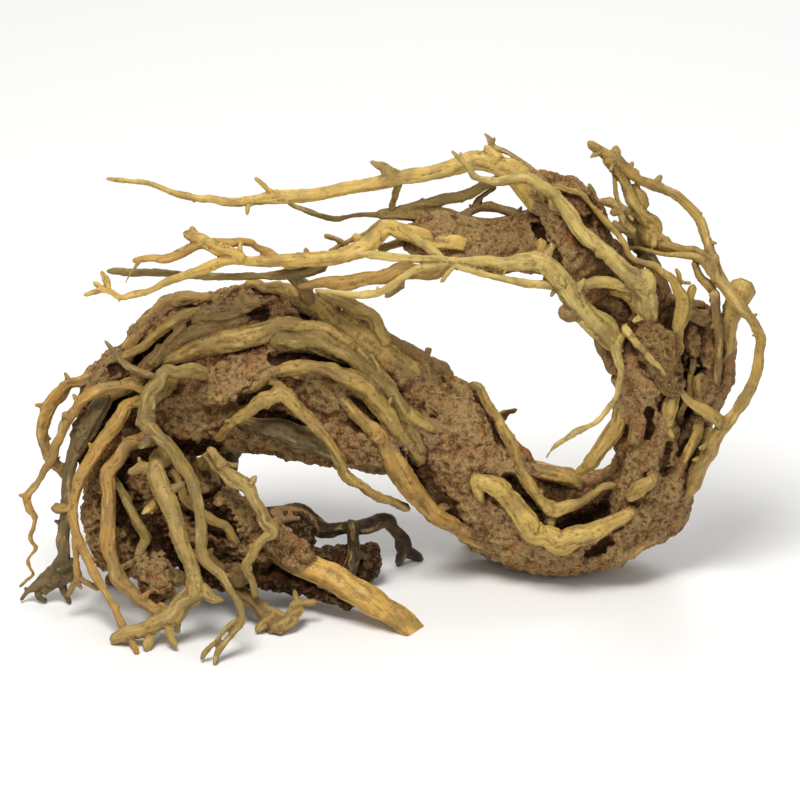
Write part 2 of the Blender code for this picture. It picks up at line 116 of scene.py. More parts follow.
crownWood = {
    "longBackRoot": ["pale", (-174, 287.5, -10, 2), (-150, 285, -7, 3), (-120, 276, -2, 4),
        (-104, 274, 0, 5), (-75, 276.5, 4, 8), (-50, 278.5, 6, 7.5), (-10, 286, 10, 8), (20, 291.5, 12, 9),
        (48, 299, 15, 11), (68, 292, 18, 15), (85, 272, 22, 14)],
    "longBackKnob": ["pale", (52, 306, 15, 6), (57, 299, 16, 11)],
    "longBackSpur": ["pale", (-86, 288, 2, 2), (-76, 279, 4, 4)],
    "longBackThorn": ["pale", (-91, 267, 1, 2), (-90, 272, 1, 3), (-84, 275.5, 3, 4)],
    "longBackEar": [(-17, 298, 9, 1.5), (-10, 295, 10, 5), (-4, 289, 10, 10)],
    "longBackTie": [(-5, 271, 24, 4), (-1, 285, 12, 5)],
    "secondBackRoot": ["olive", (-74, 278, 18, 2), (-64, 272.5, 24, 3), (-40, 264.5, 26, 3.5),
        (-10, 267, 26, 4), (10, 272, 27, 6), (40, 279, 29, 6), (60, 288, 28, 7)],
    "armRim": ["olive", (-12, 267, 26, 6), (10, 267, 28, 9), (30, 266, 30, 9), (48, 259, 32, 9)],
    "armTopEdge": ["olive", (22, 263, 30, 8), (44, 262, 33, 7), (64, 262, 36, 8), (86, 268, 34, 12)],
    "forkStub": ["brown", (34, 262, 33, 5), (44, 270, 35, 5), (53, 272, 35, 6), (70, 267, 35, 5.5),
        (84, 258, 34, 6)],
    "forkNub": ["brown", (44, 270, 35, 4), (47, 276, 34, 3.5), (57, 283, 32, 2)],
    "forkTwig": ["olive", (34, 265, 34, 3), (42, 270, 35, 3)],
    "topTwig": ["olive", (51, 315, 25, 2), (55, 308, 24, 3), (72, 299, 22, 3), (84, 289, 20, 3)],
    "topTwigSpur": ["olive", (56.5, 312.5, 25, 1.5), (54.5, 309, 24, 2.5)],
    "frontPaleRoot": ["cream", (31, 304, -10, 2), (38, 297, -9, 3), (44, 289, -8, 4), (58, 286, -7, 4.5),
        (76, 288, -5, 7), (88, 281, -1, 7), (97, 272, 2, 7.5), (106, 258, 1, 8), (120, 246, 0, 8.5),
        (134, 233, 3, 9.5), (145, 222, 9, 12.5), (148, 208, 20, 12), (151, 196, 34, 9)],
    "frontPaleTie": ["cream", (92, 278, 2, 8), (98, 270, 14, 12)],
    "frontPaleSpur": ["cream", (36, 303, -9, 1.5), (38, 297, -9, 2.5)],
    "frontPaleStub": ["cream", (146, 231, 6, 10), (146, 222, 8, 12)],
    "thinRightRoot": [(93, 283, 8, 4), (108, 279, 10, 4), (118, 268, 12, 4), (130, 255, 13, 4),
        (137, 242, 14, 4), (152, 236, 15, 4), (163, 228, 17, 5), (169, 215, 20, 9), (166, 198, 26, 7),
        (167, 186, 34, 6)],
    "thinRightTwig": ["olive", (113, 284, 10, 3), (118, 275, 11, 2.5), (126, 274, 12, 6), (132, 268, 13, 4),
        (134, 261, 14, 5), (139, 256, 15, 5)],
    "thinRightChip": ["olive", (127, 268, 13, 4), (134, 270, 13, 4), (137, 267, 14, 2)],
    "thinRightThorn": ["olive", (128, 262, 14, 3), (133, 258, 14, 4), (139, 254, 16, 5)],
    "outerLoopRoot": [(114, 309, 20, 5), (128, 300, 24, 8), (143, 288, 28, 6), (152, 284.5, 30, 6),
        (166, 278, 28, 6), (179, 265, 26, 5.5), (184, 250, 24, 6), (190, 230, 18, 9), (198, 218, 10, 7),
        (209, 205, 12, 5.5), (215.5, 194, 15, 6), (214, 176, 22, 6), (205, 155, 30, 7), (197, 143, 36, 8),
        (188, 130, 46, 9), (183, 120, 55, 9), (178, 105, 66, 7), (170, 92, 80, 6)],
    "loopTip": [(114, 301, 21, 2), (119, 304, 22, 5)],
    "loopBump": [(129, 306, 24, 5), (129, 300, 25, 7)],
    "loopSpur": [(139, 298, 27, 2), (137, 293, 28, 5)],
    "loopThorn": [(156, 290, 29, 2.5), (153, 285, 30, 5)],
    "loopStrut": [(141, 293, 29, 4), (142, 283, 32, 4), (146, 272, 34, 7)],
    "outerLoopFork": [(193, 142, 37, 7), (175, 154, 34, 5.5), (165, 167, 33, 3.5), (156, 182, 30, 3)],
    "rightLimb": [(124, 300, 24, 8), (134, 288, 30, 8), (140, 274, 32, 10), (151, 260, 35, 13),
        (150, 254, 34, 12), (163, 247, 30, 7), (178, 244, 24, 6), (188, 238, 18, 8)],
    "rightLimbTwig": [(126, 299, 26, 2), (130, 276, 28, 2.5), (139, 264, 31, 3)],
    "darkLimb": ["brown", (138, 266, 36, 7), (142, 250, 40, 9), (152, 237, 42, 9), (158, 222, 44, 8),
        (156, 200, 46, 8)],
    "darkLimbFork": ["brown", (147, 262, 36, 8), (148, 246, 40, 7), (140, 230, 42, 8), (138, 214, 42, 8)],
    "crossTwig": [(138, 247, 34, 3), (160, 243, 24, 2.5), (180, 240, 18, 5), (192, 227, 17, 6)],
    "curl": [(176, 238, 22, 4), (180, 229, 24, 5), (187, 222, 24, 6)],
    "hook": [(185, 215, 24, 2), (188, 219, 22, 5)],
    "smallCurl": [(165, 234, 20, 2), (168, 227, 20, 3), (173, 226, 20, 2.5)],
    "bulb": [(172, 208, 34, 7), (184, 205, 40, 9)],
    "knobRoot": [(205, 223, 25, 17), (199, 210, 28, 12), (197, 186, 42, 8), (188, 176, 50, 6)],
    "innerRightRoot": ["brown", (188, 220, 20, 7), (190, 202, 26, 6), (191, 184, 36, 5), (190, 166, 44, 4)],
    "bladeRoot": [(175, 223, 22, 5), (170, 207, 26, 8), (165, 188, 36, 5)],
    "frontArchRoot": ["cream", (-26, 243, -22, 3), (-13, 242, -22, 6), (5, 240, -21, 5), (35, 238, -16, 5),
        (65, 237, -10, 8), (84, 238, -8, 12), (92, 232, -6, 11), (102, 218, 0, 13), (113, 205, 10, 13),
        (130, 192, 30, 14)],
    "frontArchKnob": ["golden", (84, 250, -8, 5), (85, 240, -7, 9)],
    "frontArchStub": ["brown", (97, 207, 2, 8), (106, 211, 4, 12)],
    "frontArchTwig": ["cream", (31, 235, -17, 4), (25, 227, -17, 3)],
    "goldenHook": ["golden", (128, 220, 14, 4), (135, 219, 14, 7), (141, 213, 18, 7), (143, 206, 26, 6)],
    "headChip": [(138, 203, 28, 5), (146, 210, 26, 8)],
    "hollowTwig": ["cream", (0, 258, -15, 5), (12, 250, -16, 4.5), (25, 239, -18, 4.5)],
    "frontThinRoot": ["cream", (-50, 221, -24, 2), (-30, 218.5, -24, 3.5), (-12, 220, -23, 5),
        (9, 233, -21, 4.5), (30, 237, -17, 4), (45, 232, -14, 4), (75, 225.5, -6, 5), (105, 223, 2, 5),
        (125, 226, 7, 7), (140, 224, 12, 9)],
    "frontThinSpur": ["cream", (90, 218, 0, 2), (93, 223, 1, 4)],
    "frontThinThorn": ["cream", (86, 229, -2, 2), (88, 224, -1, 4)],
    "leftLimb": ["pale", (36, 250, 19, 9), (20, 251, 18, 12), (4, 256, 17, 11), (-6, 259, 15, 10),
        (-20, 248, 12, 12), (-40, 241, 7, 9), (-70, 239, 0, 7), (-104, 239, -6, 6), (-125, 231, -9, 5.5),
        (-150, 220.5, -14, 4), (-166, 217, -16, 4), (-176, 221.5, -18, 4.5), (-187, 218.3, -20, 2)],
    "leftLimbFork": ["pale", (-94, 240, -6, 7), (-108, 245, -6, 7), (-118, 251, -5, 8), (-127, 255, -5, 5)],
    "leftLimbKnob": ["pale", (-124, 258, -6, 3), (-121, 252, -5, 7)],
    "leftLimbToe": ["pale", (-173, 221, -17, 4), (-177, 232, -18, 3)],
    "leftLimbStub": ["pale", (-181, 225.5, -18, 3), (-177, 222, -18, 4)],
    "leftLimbSpur": ["pale", (-95, 250, -4, 3), (-95, 241, -5, 4)],
    "goldenLimb": ["golden", (-158, 239, -2, 3), (-140, 240, -4, 6), (-120, 248.5, -3, 7), (-90, 250, 4, 6),
        (-79, 244, 8, 6), (-65, 237, 12, 6), (-48, 237, 12, 7)],
    "goldenThorn": ["golden", (-154, 240, -3, 2), (-159, 233, -5, 1.6), (-163, 226, -7, 1)],
    "straightLimb": ["olive", (-174, 233, 8, 3), (-160, 232, 9, 5.5), (-125, 230, 12, 4.5),
        (-85, 230, 14, 4), (-62, 232.5, 18, 8), (-46, 237, 14, 9)],
    "limbToRidge": ["brown", (-66, 231, 18, 7), (-59, 225, 32, 9), (-54, 213, 48, 9), (-52, 200, 60, 8)],
    "darkTwig": ["olive", (-12, 262, 16, 4), (-20, 256, 15, 3), (-42, 245, 13, 3)],
    "darkSpurs": ["olive", (-44, 254, 13, 3), (-33, 249, 13, 4)],
    "darkNub": ["olive", (-56, 246, 8, 3), (-55, 240, 6, 6)],
    "underLimb": ["golden", (-60, 224, 14, 3), (-47, 226, 10, 6), (-30, 226, 10, 9), (-12, 229, 8, 8),
        (0, 233, 8, 11), (20, 232, 16, 8), (36, 242, 24, 10)],
    "underLimbToe": ["brown", (-8, 218, 6, 3), (0, 226, 8, 8)],
}
crownCrust = {
    "crustedArm": [(2, 254, 24, 10), (10, 253, 26, 20), (22, 252, 28, 26), (45, 248, 31, 25),
        (70, 248, 33, 27), (94, 250, 33, 32)],
    "crustedHead": [(80, 284, 20, 14), (88, 281, 21, 20), (97, 275, 22, 28), (106, 260, 25, 36),
        (110, 248, 28, 38), (117, 236, 31, 36), (124, 223, 34, 34), (133, 211, 38, 34), (141, 198, 42, 40),
        (147, 182, 48, 42)],
    "headFront": ["ashen", (144, 203, 30, 18), (150, 192, 28, 26), (157, 178, 30, 23), (165, 162, 38, 13)],
    "headRight": ["ashen", (160, 206, 40, 14), (171, 198, 42, 21), (174, 186, 44, 17), (169, 175, 46, 8)],
    "headRoof": [(158, 214, 40, 12), (172, 212, 42, 12), (186, 206, 44, 12), (196, 200, 46, 12)],
}
ridgeWood = {
    "topRib": [(-90, 226, 50, 6), (-70, 222, 48, 9), (-52, 213, 46, 12), (-30, 196, 47, 16),
        (-10, 183, 49, 17), (8, 171, 52, 12), (20, 160, 58, 9)],
    "topRibSheet": [(-60, 212, 56, 8), (-36, 194, 57, 18), (-16, 180, 59, 19), (2, 168, 62, 15)],
    "secondRib": [(-48, 220, 46, 6), (-30, 213, 44, 9), (-17, 206, 44, 9), (-9, 190, 46, 9)],
    "rightRib": ["brown", (-8, 192, 50, 9), (5, 187, 54, 7), (14, 179, 57, 10), (28, 173, 60, 7)],
    "rightRibTie": ["brown", (16, 178, 54, 8), (18, 166, 60, 12)],
    "ridgeTwig": [(-18, 183, 42, 3), (-12, 173, 40, 2.2), (-8, 165, 40, 2), (0, 158, 42, 2),
        (2, 154, 44, 2)],
    "leftTopRib": ["golden", (-84, 224, 56, 5), (-100, 218, 54, 7), (-122, 217, 50, 8), (-140, 214, 50, 9),
        (-153, 202, 50, 9), (-162, 188, 50, 9)],
    "leftRib": [(-98, 224, 48, 2), (-110, 212, 46, 4), (-128, 207, 44, 10), (-145, 196, 43, 7),
        (-165, 181, 44, 7)],
    "leftRibFork": ["brown", (-130, 200, 40, 5), (-138, 192, 38, 4), (-144, 184, 38, 3),
        (-150, 177, 38, 3)],
    "leftBroadRib": ["olive", (-84, 215, 48, 8), (-105, 208, 43, 10), (-122, 206, 43, 9)],
    "cavityRib": ["brown", (-95, 203, 44, 8), (-120, 197, 40, 10), (-142, 185, 42, 9), (-158, 172, 44, 8)],
    "middleRib": [(-142, 179, 44, 7), (-120, 187, 40, 12), (-90, 194, 39, 13), (-70, 201, 38, 10),
        (-42, 197, 39, 7), (-25, 184, 42, 7), (-4, 162, 46, 6)],
    "middleRibFlank": ["olive", (-78, 188, 44, 10), (-56, 190, 40, 12), (-36, 184, 42, 12),
        (-16, 168, 46, 10)],
    "innerRib": ["olive", (-74, 192, 38, 8), (-50, 192, 34, 10), (-30, 182, 36, 9), (-10, 165, 40, 8),
        (3, 148, 45, 8), (13, 126, 54, 6)],
    "lowerRib": [(-94, 162, 40, 5), (-78, 171, 36, 7), (-60, 175, 35, 9), (-42, 174, 35, 9),
        (-22, 165, 37, 12), (-8, 148, 43, 11), (2, 132, 50, 9), (12, 120, 58, 7)],
    "frontArch": [(-108, 134, 44, 6), (-100, 143, 34, 6), (-82, 156, 26, 9), (-70, 160, 25, 10),
        (-56, 146, 27, 8), (-40, 127, 31, 5.5), (-33, 111, 38, 8), (-16, 99, 50, 6), (4, 91, 66, 6)],
    "frontArchLeg": [(-76, 158, 27, 6), (-72, 164, 30, 6), (-78, 168, 40, 6)],
    "crossingRib": ["golden", (-34, 156, 44, 6), (-27, 148, 44, 8), (-15, 137, 45, 10), (-3, 118, 50, 14),
        (9, 100, 58, 13), (22, 86, 66, 11), (40, 77.5, 76, 7), (52, 76, 82, 6)],
    "shortRib": [(-2, 156, 46, 6), (6, 147, 46, 9), (17, 141, 50, 9), (28, 140, 55, 7)],
    "underRib": ["gray", (-94, 142, 50, 8), (-72, 138, 48, 15), (-52, 131, 51, 16), (-36, 124, 55, 10)],
    "leftEdgeRib": [(-150, 172, 46, 7), (-164, 164, 44, 10), (-178, 158, 46, 8)],
}
ridgeCrust = {
    "slab": [(-190, 164, 58, 16), (-168, 170, 64, 34), (-140, 168, 68, 50), (-115, 171, 71, 58),
        (-90, 172, 73, 60), (-65, 171, 71, 55), (-45, 164, 68, 47), (-28, 154, 68, 44), (-12, 146, 69, 44),
        (6, 138, 72, 46), (28, 132, 80, 54), (44, 118, 86, 56)],
    "upperSlab": [(-158, 186, 58, 26), (-140, 196, 60, 34), (-115, 202, 60, 36), (-90, 208, 58, 34),
        (-65, 204, 58, 34), (-45, 194, 58, 28), (-25, 181, 60, 28), (-5, 169, 62, 28), (14, 157, 66, 32),
        (30, 148, 72, 40)],
    "frontFlank": [(-150, 158, 50, 22), (-124, 162, 48, 28), (-98, 170, 48, 30), (-70, 180, 48, 26),
        (-40, 176, 50, 24), (-14, 158, 54, 24)],
    "leftEdge": [(-160, 178, 52, 20), (-176, 168, 52, 20), (-184, 150, 58, 24), (-186, 130, 58, 22),
        (-178, 108, 58, 22)],
    "underBeam": [(-150, 142, 60, 34), (-125, 140, 62, 34), (-105, 140, 62, 32), (-85, 141, 60, 30),
        (-65, 136, 60, 28), (-45, 130, 60, 26), (-25, 128, 62, 30), (0, 124, 68, 34)],
}
legsWood = {
    "outerLoopLeg": ["golden", (-186, 168, 54, 9), (-198, 166, 54, 7), (-211, 152, 56, 8),
        (-215, 135, 56, 8), (-209, 119, 56, 8), (-200, 111, 57, 8), (-188, 106, 58, 8)],
    "twistingLeg": ["golden", (-150, 160, 26, 5), (-162, 165, 26, 6), (-178, 163, 30, 6),
        (-192, 154, 34, 6), (-198, 146, 38, 7), (-203, 135, 41, 5.5), (-209, 120, 45, 6),
        (-217, 107, 48, 4), (-224, 98, 50, 5), (-219.5, 85, 54, 3), (-222, 73, 57, 3), (-219, 67, 60, 3),
        (-224, 59, 63, 2), (-221, 51, 67, 2), (-229, 43.5, 72, 1.5)],
    "twistingLegSpur": ["golden", (-228.5, 98.7, 50, 2), (-224, 98, 50, 4)],
    "grayLeg": ["gray", (-180, 156, 46, 9), (-190, 140, 46, 9), (-197, 120, 50, 8), (-200, 100, 55, 7.5),
        (-202, 80, 60, 7.5), (-202, 62, 63, 8), (-206, 52, 66, 14), (-215, 47, 67, 9), (-224, 41, 68, 4),
        (-228, 36, 69, 3)],
    "grayLegFlank": ["gray", (-176, 158, 44, 8), (-183, 146, 44, 10), (-193, 126, 48, 7)],
    "grayFoot": ["soot", (-196, 58, 63, 9), (-202, 52, 64, 16), (-208, 47, 65, 10)],
    "grayToe": ["soot", (-214, 47, 67, 7), (-218, 38, 68, 4), (-214, 35, 69, 3)],
    "grayToeTip": ["soot", (-205, 50, 66, 7), (-202, 40, 67, 4), (-199, 34, 68, 3)],
    "goldenStub": ["golden", (-207, 91, 54, 6), (-201, 91, 54, 5)],
    "longLeg": ["golden", (-150, 158, 30, 9), (-163, 153, 27, 8), (-172, 139, 26, 9), (-182, 125, 28, 8),
        (-192, 108, 30, 7), (-196, 93, 34, 6), (-194, 77, 34, 5.5), (-187, 61, 32, 5.5), (-180, 47, 28, 5),
        (-171, 32, 24, 4.5), (-164, 17, 18, 4), (-157, 5.5, 7, 3.5)],
    "longLegFork": ["golden", (-194, 75, 34, 5), (-194, 60, 36, 4), (-193, 50, 38, 5), (-199, 39, 42, 3)],
    "longLegToe": ["golden", (-193, 50, 38, 4), (-191, 43, 40, 2.5)],
    "longLegSideToe": ["golden", (-193, 50, 38, 4), (-181, 43, 36, 3.5)],
    "goldenLeg": ["golden", (-148, 134, 40, 10), (-163, 129, 29, 8), (-175, 112, 27, 9.5),
        (-174.5, 92, 25, 8.5), (-174.5, 68, 23, 9), (-168, 49, 21, 9), (-155, 36, 18, 8),
        (-142, 29, 14, 6)],
    "frontLeg": ["olive", (-118, 172, 26, 9), (-128, 173, 16, 8), (-140, 173, 14, 8), (-149, 160, 12, 10),
        (-151, 142, 9, 11), (-137, 128, 6, 7), (-125, 110, 4, 7), (-119, 86, 2, 7), (-118, 65, 0, 6.5),
        (-106, 51, -2, 5), (-97, 37, -3, 4.5), (-94, 25, -4, 5), (-102, 14, -5, 4), (-109, 5, -5, 4),
        (-110, -1, -6, 3)],
    "frontLegHook": ["gray", (-150, 146, 9, 10), (-149, 136, 8, 8), (-154, 129, 8, 5)],
    "frontLegLoop": ["olive", (-95, 26, -4, 4), (-106, 17, -6, 3), (-114, 8, -5, 3), (-118, 2, -4, 3)],
    "frontLegTie": ["olive", (-148, 157, 13, 10), (-145, 163, 28, 13), (-140, 167, 46, 16)],
    "frontLegTwig": ["brown", (-176, 191, 16, 2), (-165, 178, 14, 4), (-148, 170, 13, 5)],
    "paleFoot": ["bone", (-143, 122, 42, 14), (-145, 120, 26, 10), (-146, 114, 17, 11), (-138, 95, 13, 11),
        (-130, 70, 9, 9.5), (-123, 50, 8, 9), (-122, 42, 9, 12), (-135, 28, 11, 13), (-153, 19, 14, 9.5),
        (-171, 13, 18, 7)],
    "paleFootHorn": ["bone", (-146, 114, 17, 8), (-154, 116, 15, 6), (-161, 113, 15, 4)],
    "paleFootNub": ["bone", (-135, 103, 13, 6), (-130, 106, 11, 4)],
    "paleFootStub": [(-146, 94, 22, 6), (-150, 91, 15, 4.5), (-154, 88, 12, 1.5)],
    "paleFootFrontToe": ["bone", (-150, 19, 14, 6), (-151, 8, 10, 5)],
    "paleFootSideToe": ["bone", (-138, 24, 11, 8), (-134, 9, 9, 3)],
    "paleFootWeb": ["bone", (-120, 44, 9, 9), (-112, 38, 8, 7), (-106, 37, 8, 4)],
    "bentLeg": ["bone", (-118, 118, 44, 9), (-113, 121, 26, 8), (-105, 113, 18, 9), (-91, 104, 14, 9),
        (-83, 90, 14, 8), (-76, 78, 15, 8), (-87, 67, 17, 6), (-92, 56, 20, 6.5), (-87, 40, 26, 5)],
    "bentLegKnob": ["bone", (-113, 126, 22, 7), (-106, 116, 18, 10)],
    "bentLegSpur": ["bone", (-87, 109, 14, 4), (-91, 104, 14, 7)],
    "bentLegTwig": ["bone", (-97.5, 117.5, 27, 2.5), (-104, 118, 22, 4)],
    "bentLegTie": ["brown", (-92, 54, 20, 6), (-96, 48, 34, 10), (-98, 52, 48, 18)],
    "rearDarkLeg": ["dark", (-85, 84, 76, 12), (-62, 87, 88, 13), (-45, 77, 93, 9), (-22, 79, 100, 9),
        (-8, 83, 107, 9), (1, 72, 114, 8.5), (3, 65, 118, 9), (12, 60, 122, 5)],
    "rearDarkToe": ["dark", (2, 68, 115, 7), (-1, 57, 116, 5)],
    "rearDarkDrop": ["dark", (-29, 80, 94, 9), (-28, 64, 79, 9), (-31, 50, 74, 8)],
    "clawedLeg": ["brown", (-102, 48, 46, 12), (-87, 34, 36, 8), (-75, 22, 31, 9), (-71, 18, 29, 7)],
    "claw": ["bone", (-84, 32, 35, 6), (-68, 26, 33, 5), (-62, 34, 36, 4), (-63, 41, 37, 3)],
    "clawTip": ["bone", (-64, 33, 36, 6), (-51, 35, 38, 4)],
    "clawToe": [(-76, 26, 33, 8), (-85, 19, 30, 5)],
    "clawPalm": ["bone", (-76, 20, 30, 8), (-66, 24, 32, 9), (-60, 30, 35, 6)],
    "hollowShelf": ["olive", (-160, 60, 40, 5), (-146, 57, 38, 7), (-132, 48, 36, 8)],
    "hollowRib": ["olive", (-150, 96, 46, 9), (-138, 88, 44, 11), (-124, 92, 44, 8)],
    "hollowRingRoot": ["olive", (-172, 108, 40, 5), (-162, 92, 34, 6), (-152, 74, 32, 6), (-158, 60, 34, 5),
        (-168, 54, 38, 4)],
    "hollowPaleRoot": [(-136, 112, 38, 5), (-129, 97, 30, 6), (-116, 86, 28, 7), (-104, 80, 32, 6),
        (-98, 70, 38, 5)],
    "hollowLowRoot": ["brown", (-132, 66, 36, 5), (-116, 62, 32, 7), (-106, 54, 34, 6)],
}
stickWood = {
    "sawnStick": ["sawn", (-100, 82, 54, 12), (-88, 74, 50, 14), (-70, 63, 45, 15), (-50, 54, 41, 16),
        (-30, 43, 37, 17.5), (-16, 35, 35, 18.5), (0, 26, 33, 18), (12, 19, 32, 17), (20, 14.5, 31, 12)],
}
legsCrust = {
    "crustStrip": [(-180, 118, 54, 18), (-185, 95, 50, 13), (-183, 72, 46, 10), (-177, 54, 38, 7)],
    "lowBulge": [(-148, 68, 50, 34), (-147, 50, 34, 24), (-143, 38, 24, 19)],
    "rearCrustWeb": ["shade", (-112, 98, 72, 15), (-96, 88, 76, 16), (-78, 82, 82, 14), (-64, 85, 86, 11),
        (-57, 80, 84, 10), (-60, 70, 80, 12)],
    "rearStub": ["shade", (-66, 58, 78, 16), (-50, 57, 84, 19), (-34, 57, 88, 22), (-20, 58, 90, 24),
        (-13, 58, 91, 19)],
    "hiddenLink": ["shade", (-122, 112, 66, 14), (-105, 95, 75, 16), (-84, 84, 82, 14), (-64, 83, 86, 9)],
    "crustedLeg": ["shade", (-98, 60, 60, 20), (-70, 46, 54, 14), (-55, 43, 50, 10), (-28, 31, 40, 7)],
    "stickCrust": [(-112, 92, 44, 26), (-95, 84, 42, 24), (-80, 74, 39, 20), (-67, 65, 38, 17),
        (-58, 58, 38, 13)],
    "stickFlap": [(-77, 82, 18, 7), (-71, 76, 26, 12), (-63, 68, 33, 13), (-56, 60, 36, 9)],
    "lowerBlock": [(-168, 92, 54, 32), (-148, 82, 60, 46), (-125, 76, 62, 50), (-100, 70, 60, 44),
        (-76, 64, 55, 28)],
    "middleBlock": [(-155, 140, 60, 30), (-152, 118, 60, 42), (-138, 106, 62, 44), (-116, 98, 66, 34)],
    "innerFlank": [(-182, 140, 56, 14), (-176, 118, 50, 20), (-168, 100, 50, 24), (-166, 76, 50, 22),
        (-160, 52, 44, 14)],
    "underCrust": ["shade", (-130, 58, 52, 24), (-104, 52, 54, 22), (-84, 50, 54, 16)],
    "legsTop": ["shade", (-176, 154, 60, 20), (-164, 146, 60, 28), (-150, 142, 58, 24)],
}
trunkWood = {
    "frontColumn": [(167, 166, 36, 8), (162, 152, 40, 9), (159, 140, 45, 9), (154, 127, 54, 10)],
    "innerColumnRib": ["olive", (138, 166, 48, 6), (141, 154, 46, 9), (143, 142, 48, 10),
        (141, 132, 53, 9)],
    "innerLoopRib": [(135, 152, 52, 8), (127, 135, 50, 10), (115, 119, 58, 9), (108, 113, 66, 6)],
    "innerEdgeRoot": [(46, 164, 62, 6), (57, 146, 59, 7), (67, 130, 57, 8), (73, 112, 57, 7.5),
        (83, 97, 60, 7), (92, 90, 65, 9), (108, 94, 64, 7), (124, 104, 61, 5)],
    "innerEdgeStub": [(92, 89, 69, 9), (90, 81, 66, 7)],
    "bellyRoot": ["pale", (47, 107, 54, 9), (58, 104, 53, 12), (71, 90, 57, 12), (80, 75, 61, 12),
        (97, 70, 62, 15), (115, 76, 61, 12), (138, 88, 59, 7)],
    "bellyRootSpur": ["pale", (47, 108, 54, 9), (48, 98, 54, 5)],
    "bellyRootWeb": [(82, 71, 71, 9), (92, 64, 75, 9), (102, 66, 73, 8)],
    "outerRib": ["pale", (179, 142, 56, 7), (176, 130, 58, 7), (170, 118, 63, 6), (163, 103, 69, 6),
        (157, 88, 78, 6)],
    "outerRibFlank": [(186, 138, 60, 7), (180, 118, 66, 8), (176, 104, 72, 8)],
    "loopTopRib": ["olive", (117, 200, 36, 8), (121, 186, 38, 7), (128, 174, 44, 7)],
    "sillRib": [(64, 118, 74, 8), (84, 112, 78, 9), (104, 108, 76, 8)],
    "trunkChip": [(138, 98, 54, 6), (144, 103, 51, 9), (151, 108, 50, 7)],
    "bellyScrap": [(116, 59, 78, 5), (129, 61, 76, 8), (142, 66, 76, 8), (153, 73, 78, 5)],
    "columnNub": [(180, 150, 54, 7), (180, 160, 50, 7), (179, 169, 46, 5)],
    "columnInner": [(172, 196, 40, 6), (176, 178, 46, 5), (174, 160, 52, 6), (168, 146, 58, 6)],
    "columnEdge": ["olive", (196, 196, 40, 8), (198, 182, 44, 7), (196, 166, 50, 7), (190, 154, 56, 6)],
    "bottomRib": [(24, 86, 74, 7), (40, 74, 82, 8), (60, 66, 88, 8), (86, 60, 90, 7)],
    "hangingRoot": ["cream", (138, 202, 30, 7), (129, 188, 20, 6.5), (132, 172, 12, 3.5), (129, 158, 5, 3),
        (119, 145, -2, 3), (107, 138, -6, 4.5), (97, 132, -9, 3), (87, 121.5, -12, 2)],
    "hangingRootFork": ["cream", (134, 199, 22, 5), (141, 190, 17, 4), (150, 180, 15, 4),
        (158, 171, 20, 3)],
}
trunkCrust = {
    "trunk": [(6, 152, 72, 20), (16, 153, 68, 36), (28, 147, 72, 50), (36, 128, 80, 61), (52, 105, 90, 68),
        (72, 86, 96, 67), (95, 79, 99, 64), (120, 83, 96, 62), (140, 94, 90, 56), (148, 109, 84, 46),
        (147, 125, 74, 36), (144, 140, 64, 32), (146, 155, 56, 32), (147, 170, 50, 38), (144, 186, 45, 40),
        (140, 200, 42, 30)],
    "trunkShoulder": [(24, 168, 66, 10), (32, 158, 64, 22), (44, 140, 70, 24), (54, 124, 76, 20)],
    "outerColumn": [(186, 206, 42, 14), (190, 188, 48, 20), (190, 172, 52, 20), (185, 155, 60, 18),
        (172, 136, 70, 22), (152, 118, 80, 26)],
    "columnBackWall": [(172, 190, 58, 18), (172, 166, 66, 20), (166, 145, 74, 22)],
    "outerRim": [(146, 74, 92, 24), (162, 86, 86, 26), (167, 104, 78, 22), (172, 124, 68, 16)],
    "columnBridge": [(150, 196, 46, 30), (170, 194, 46, 18), (186, 196, 46, 14)],
    "loopSill": ["rusty", (62, 130, 80, 12), (66, 124, 84, 16), (78, 112, 92, 14), (98, 104, 96, 12)],
    "columnFoot": [(158, 150, 46, 12), (158, 134, 54, 18), (150, 118, 62, 24), (140, 104, 70, 26),
        (128, 92, 76, 22)],
}
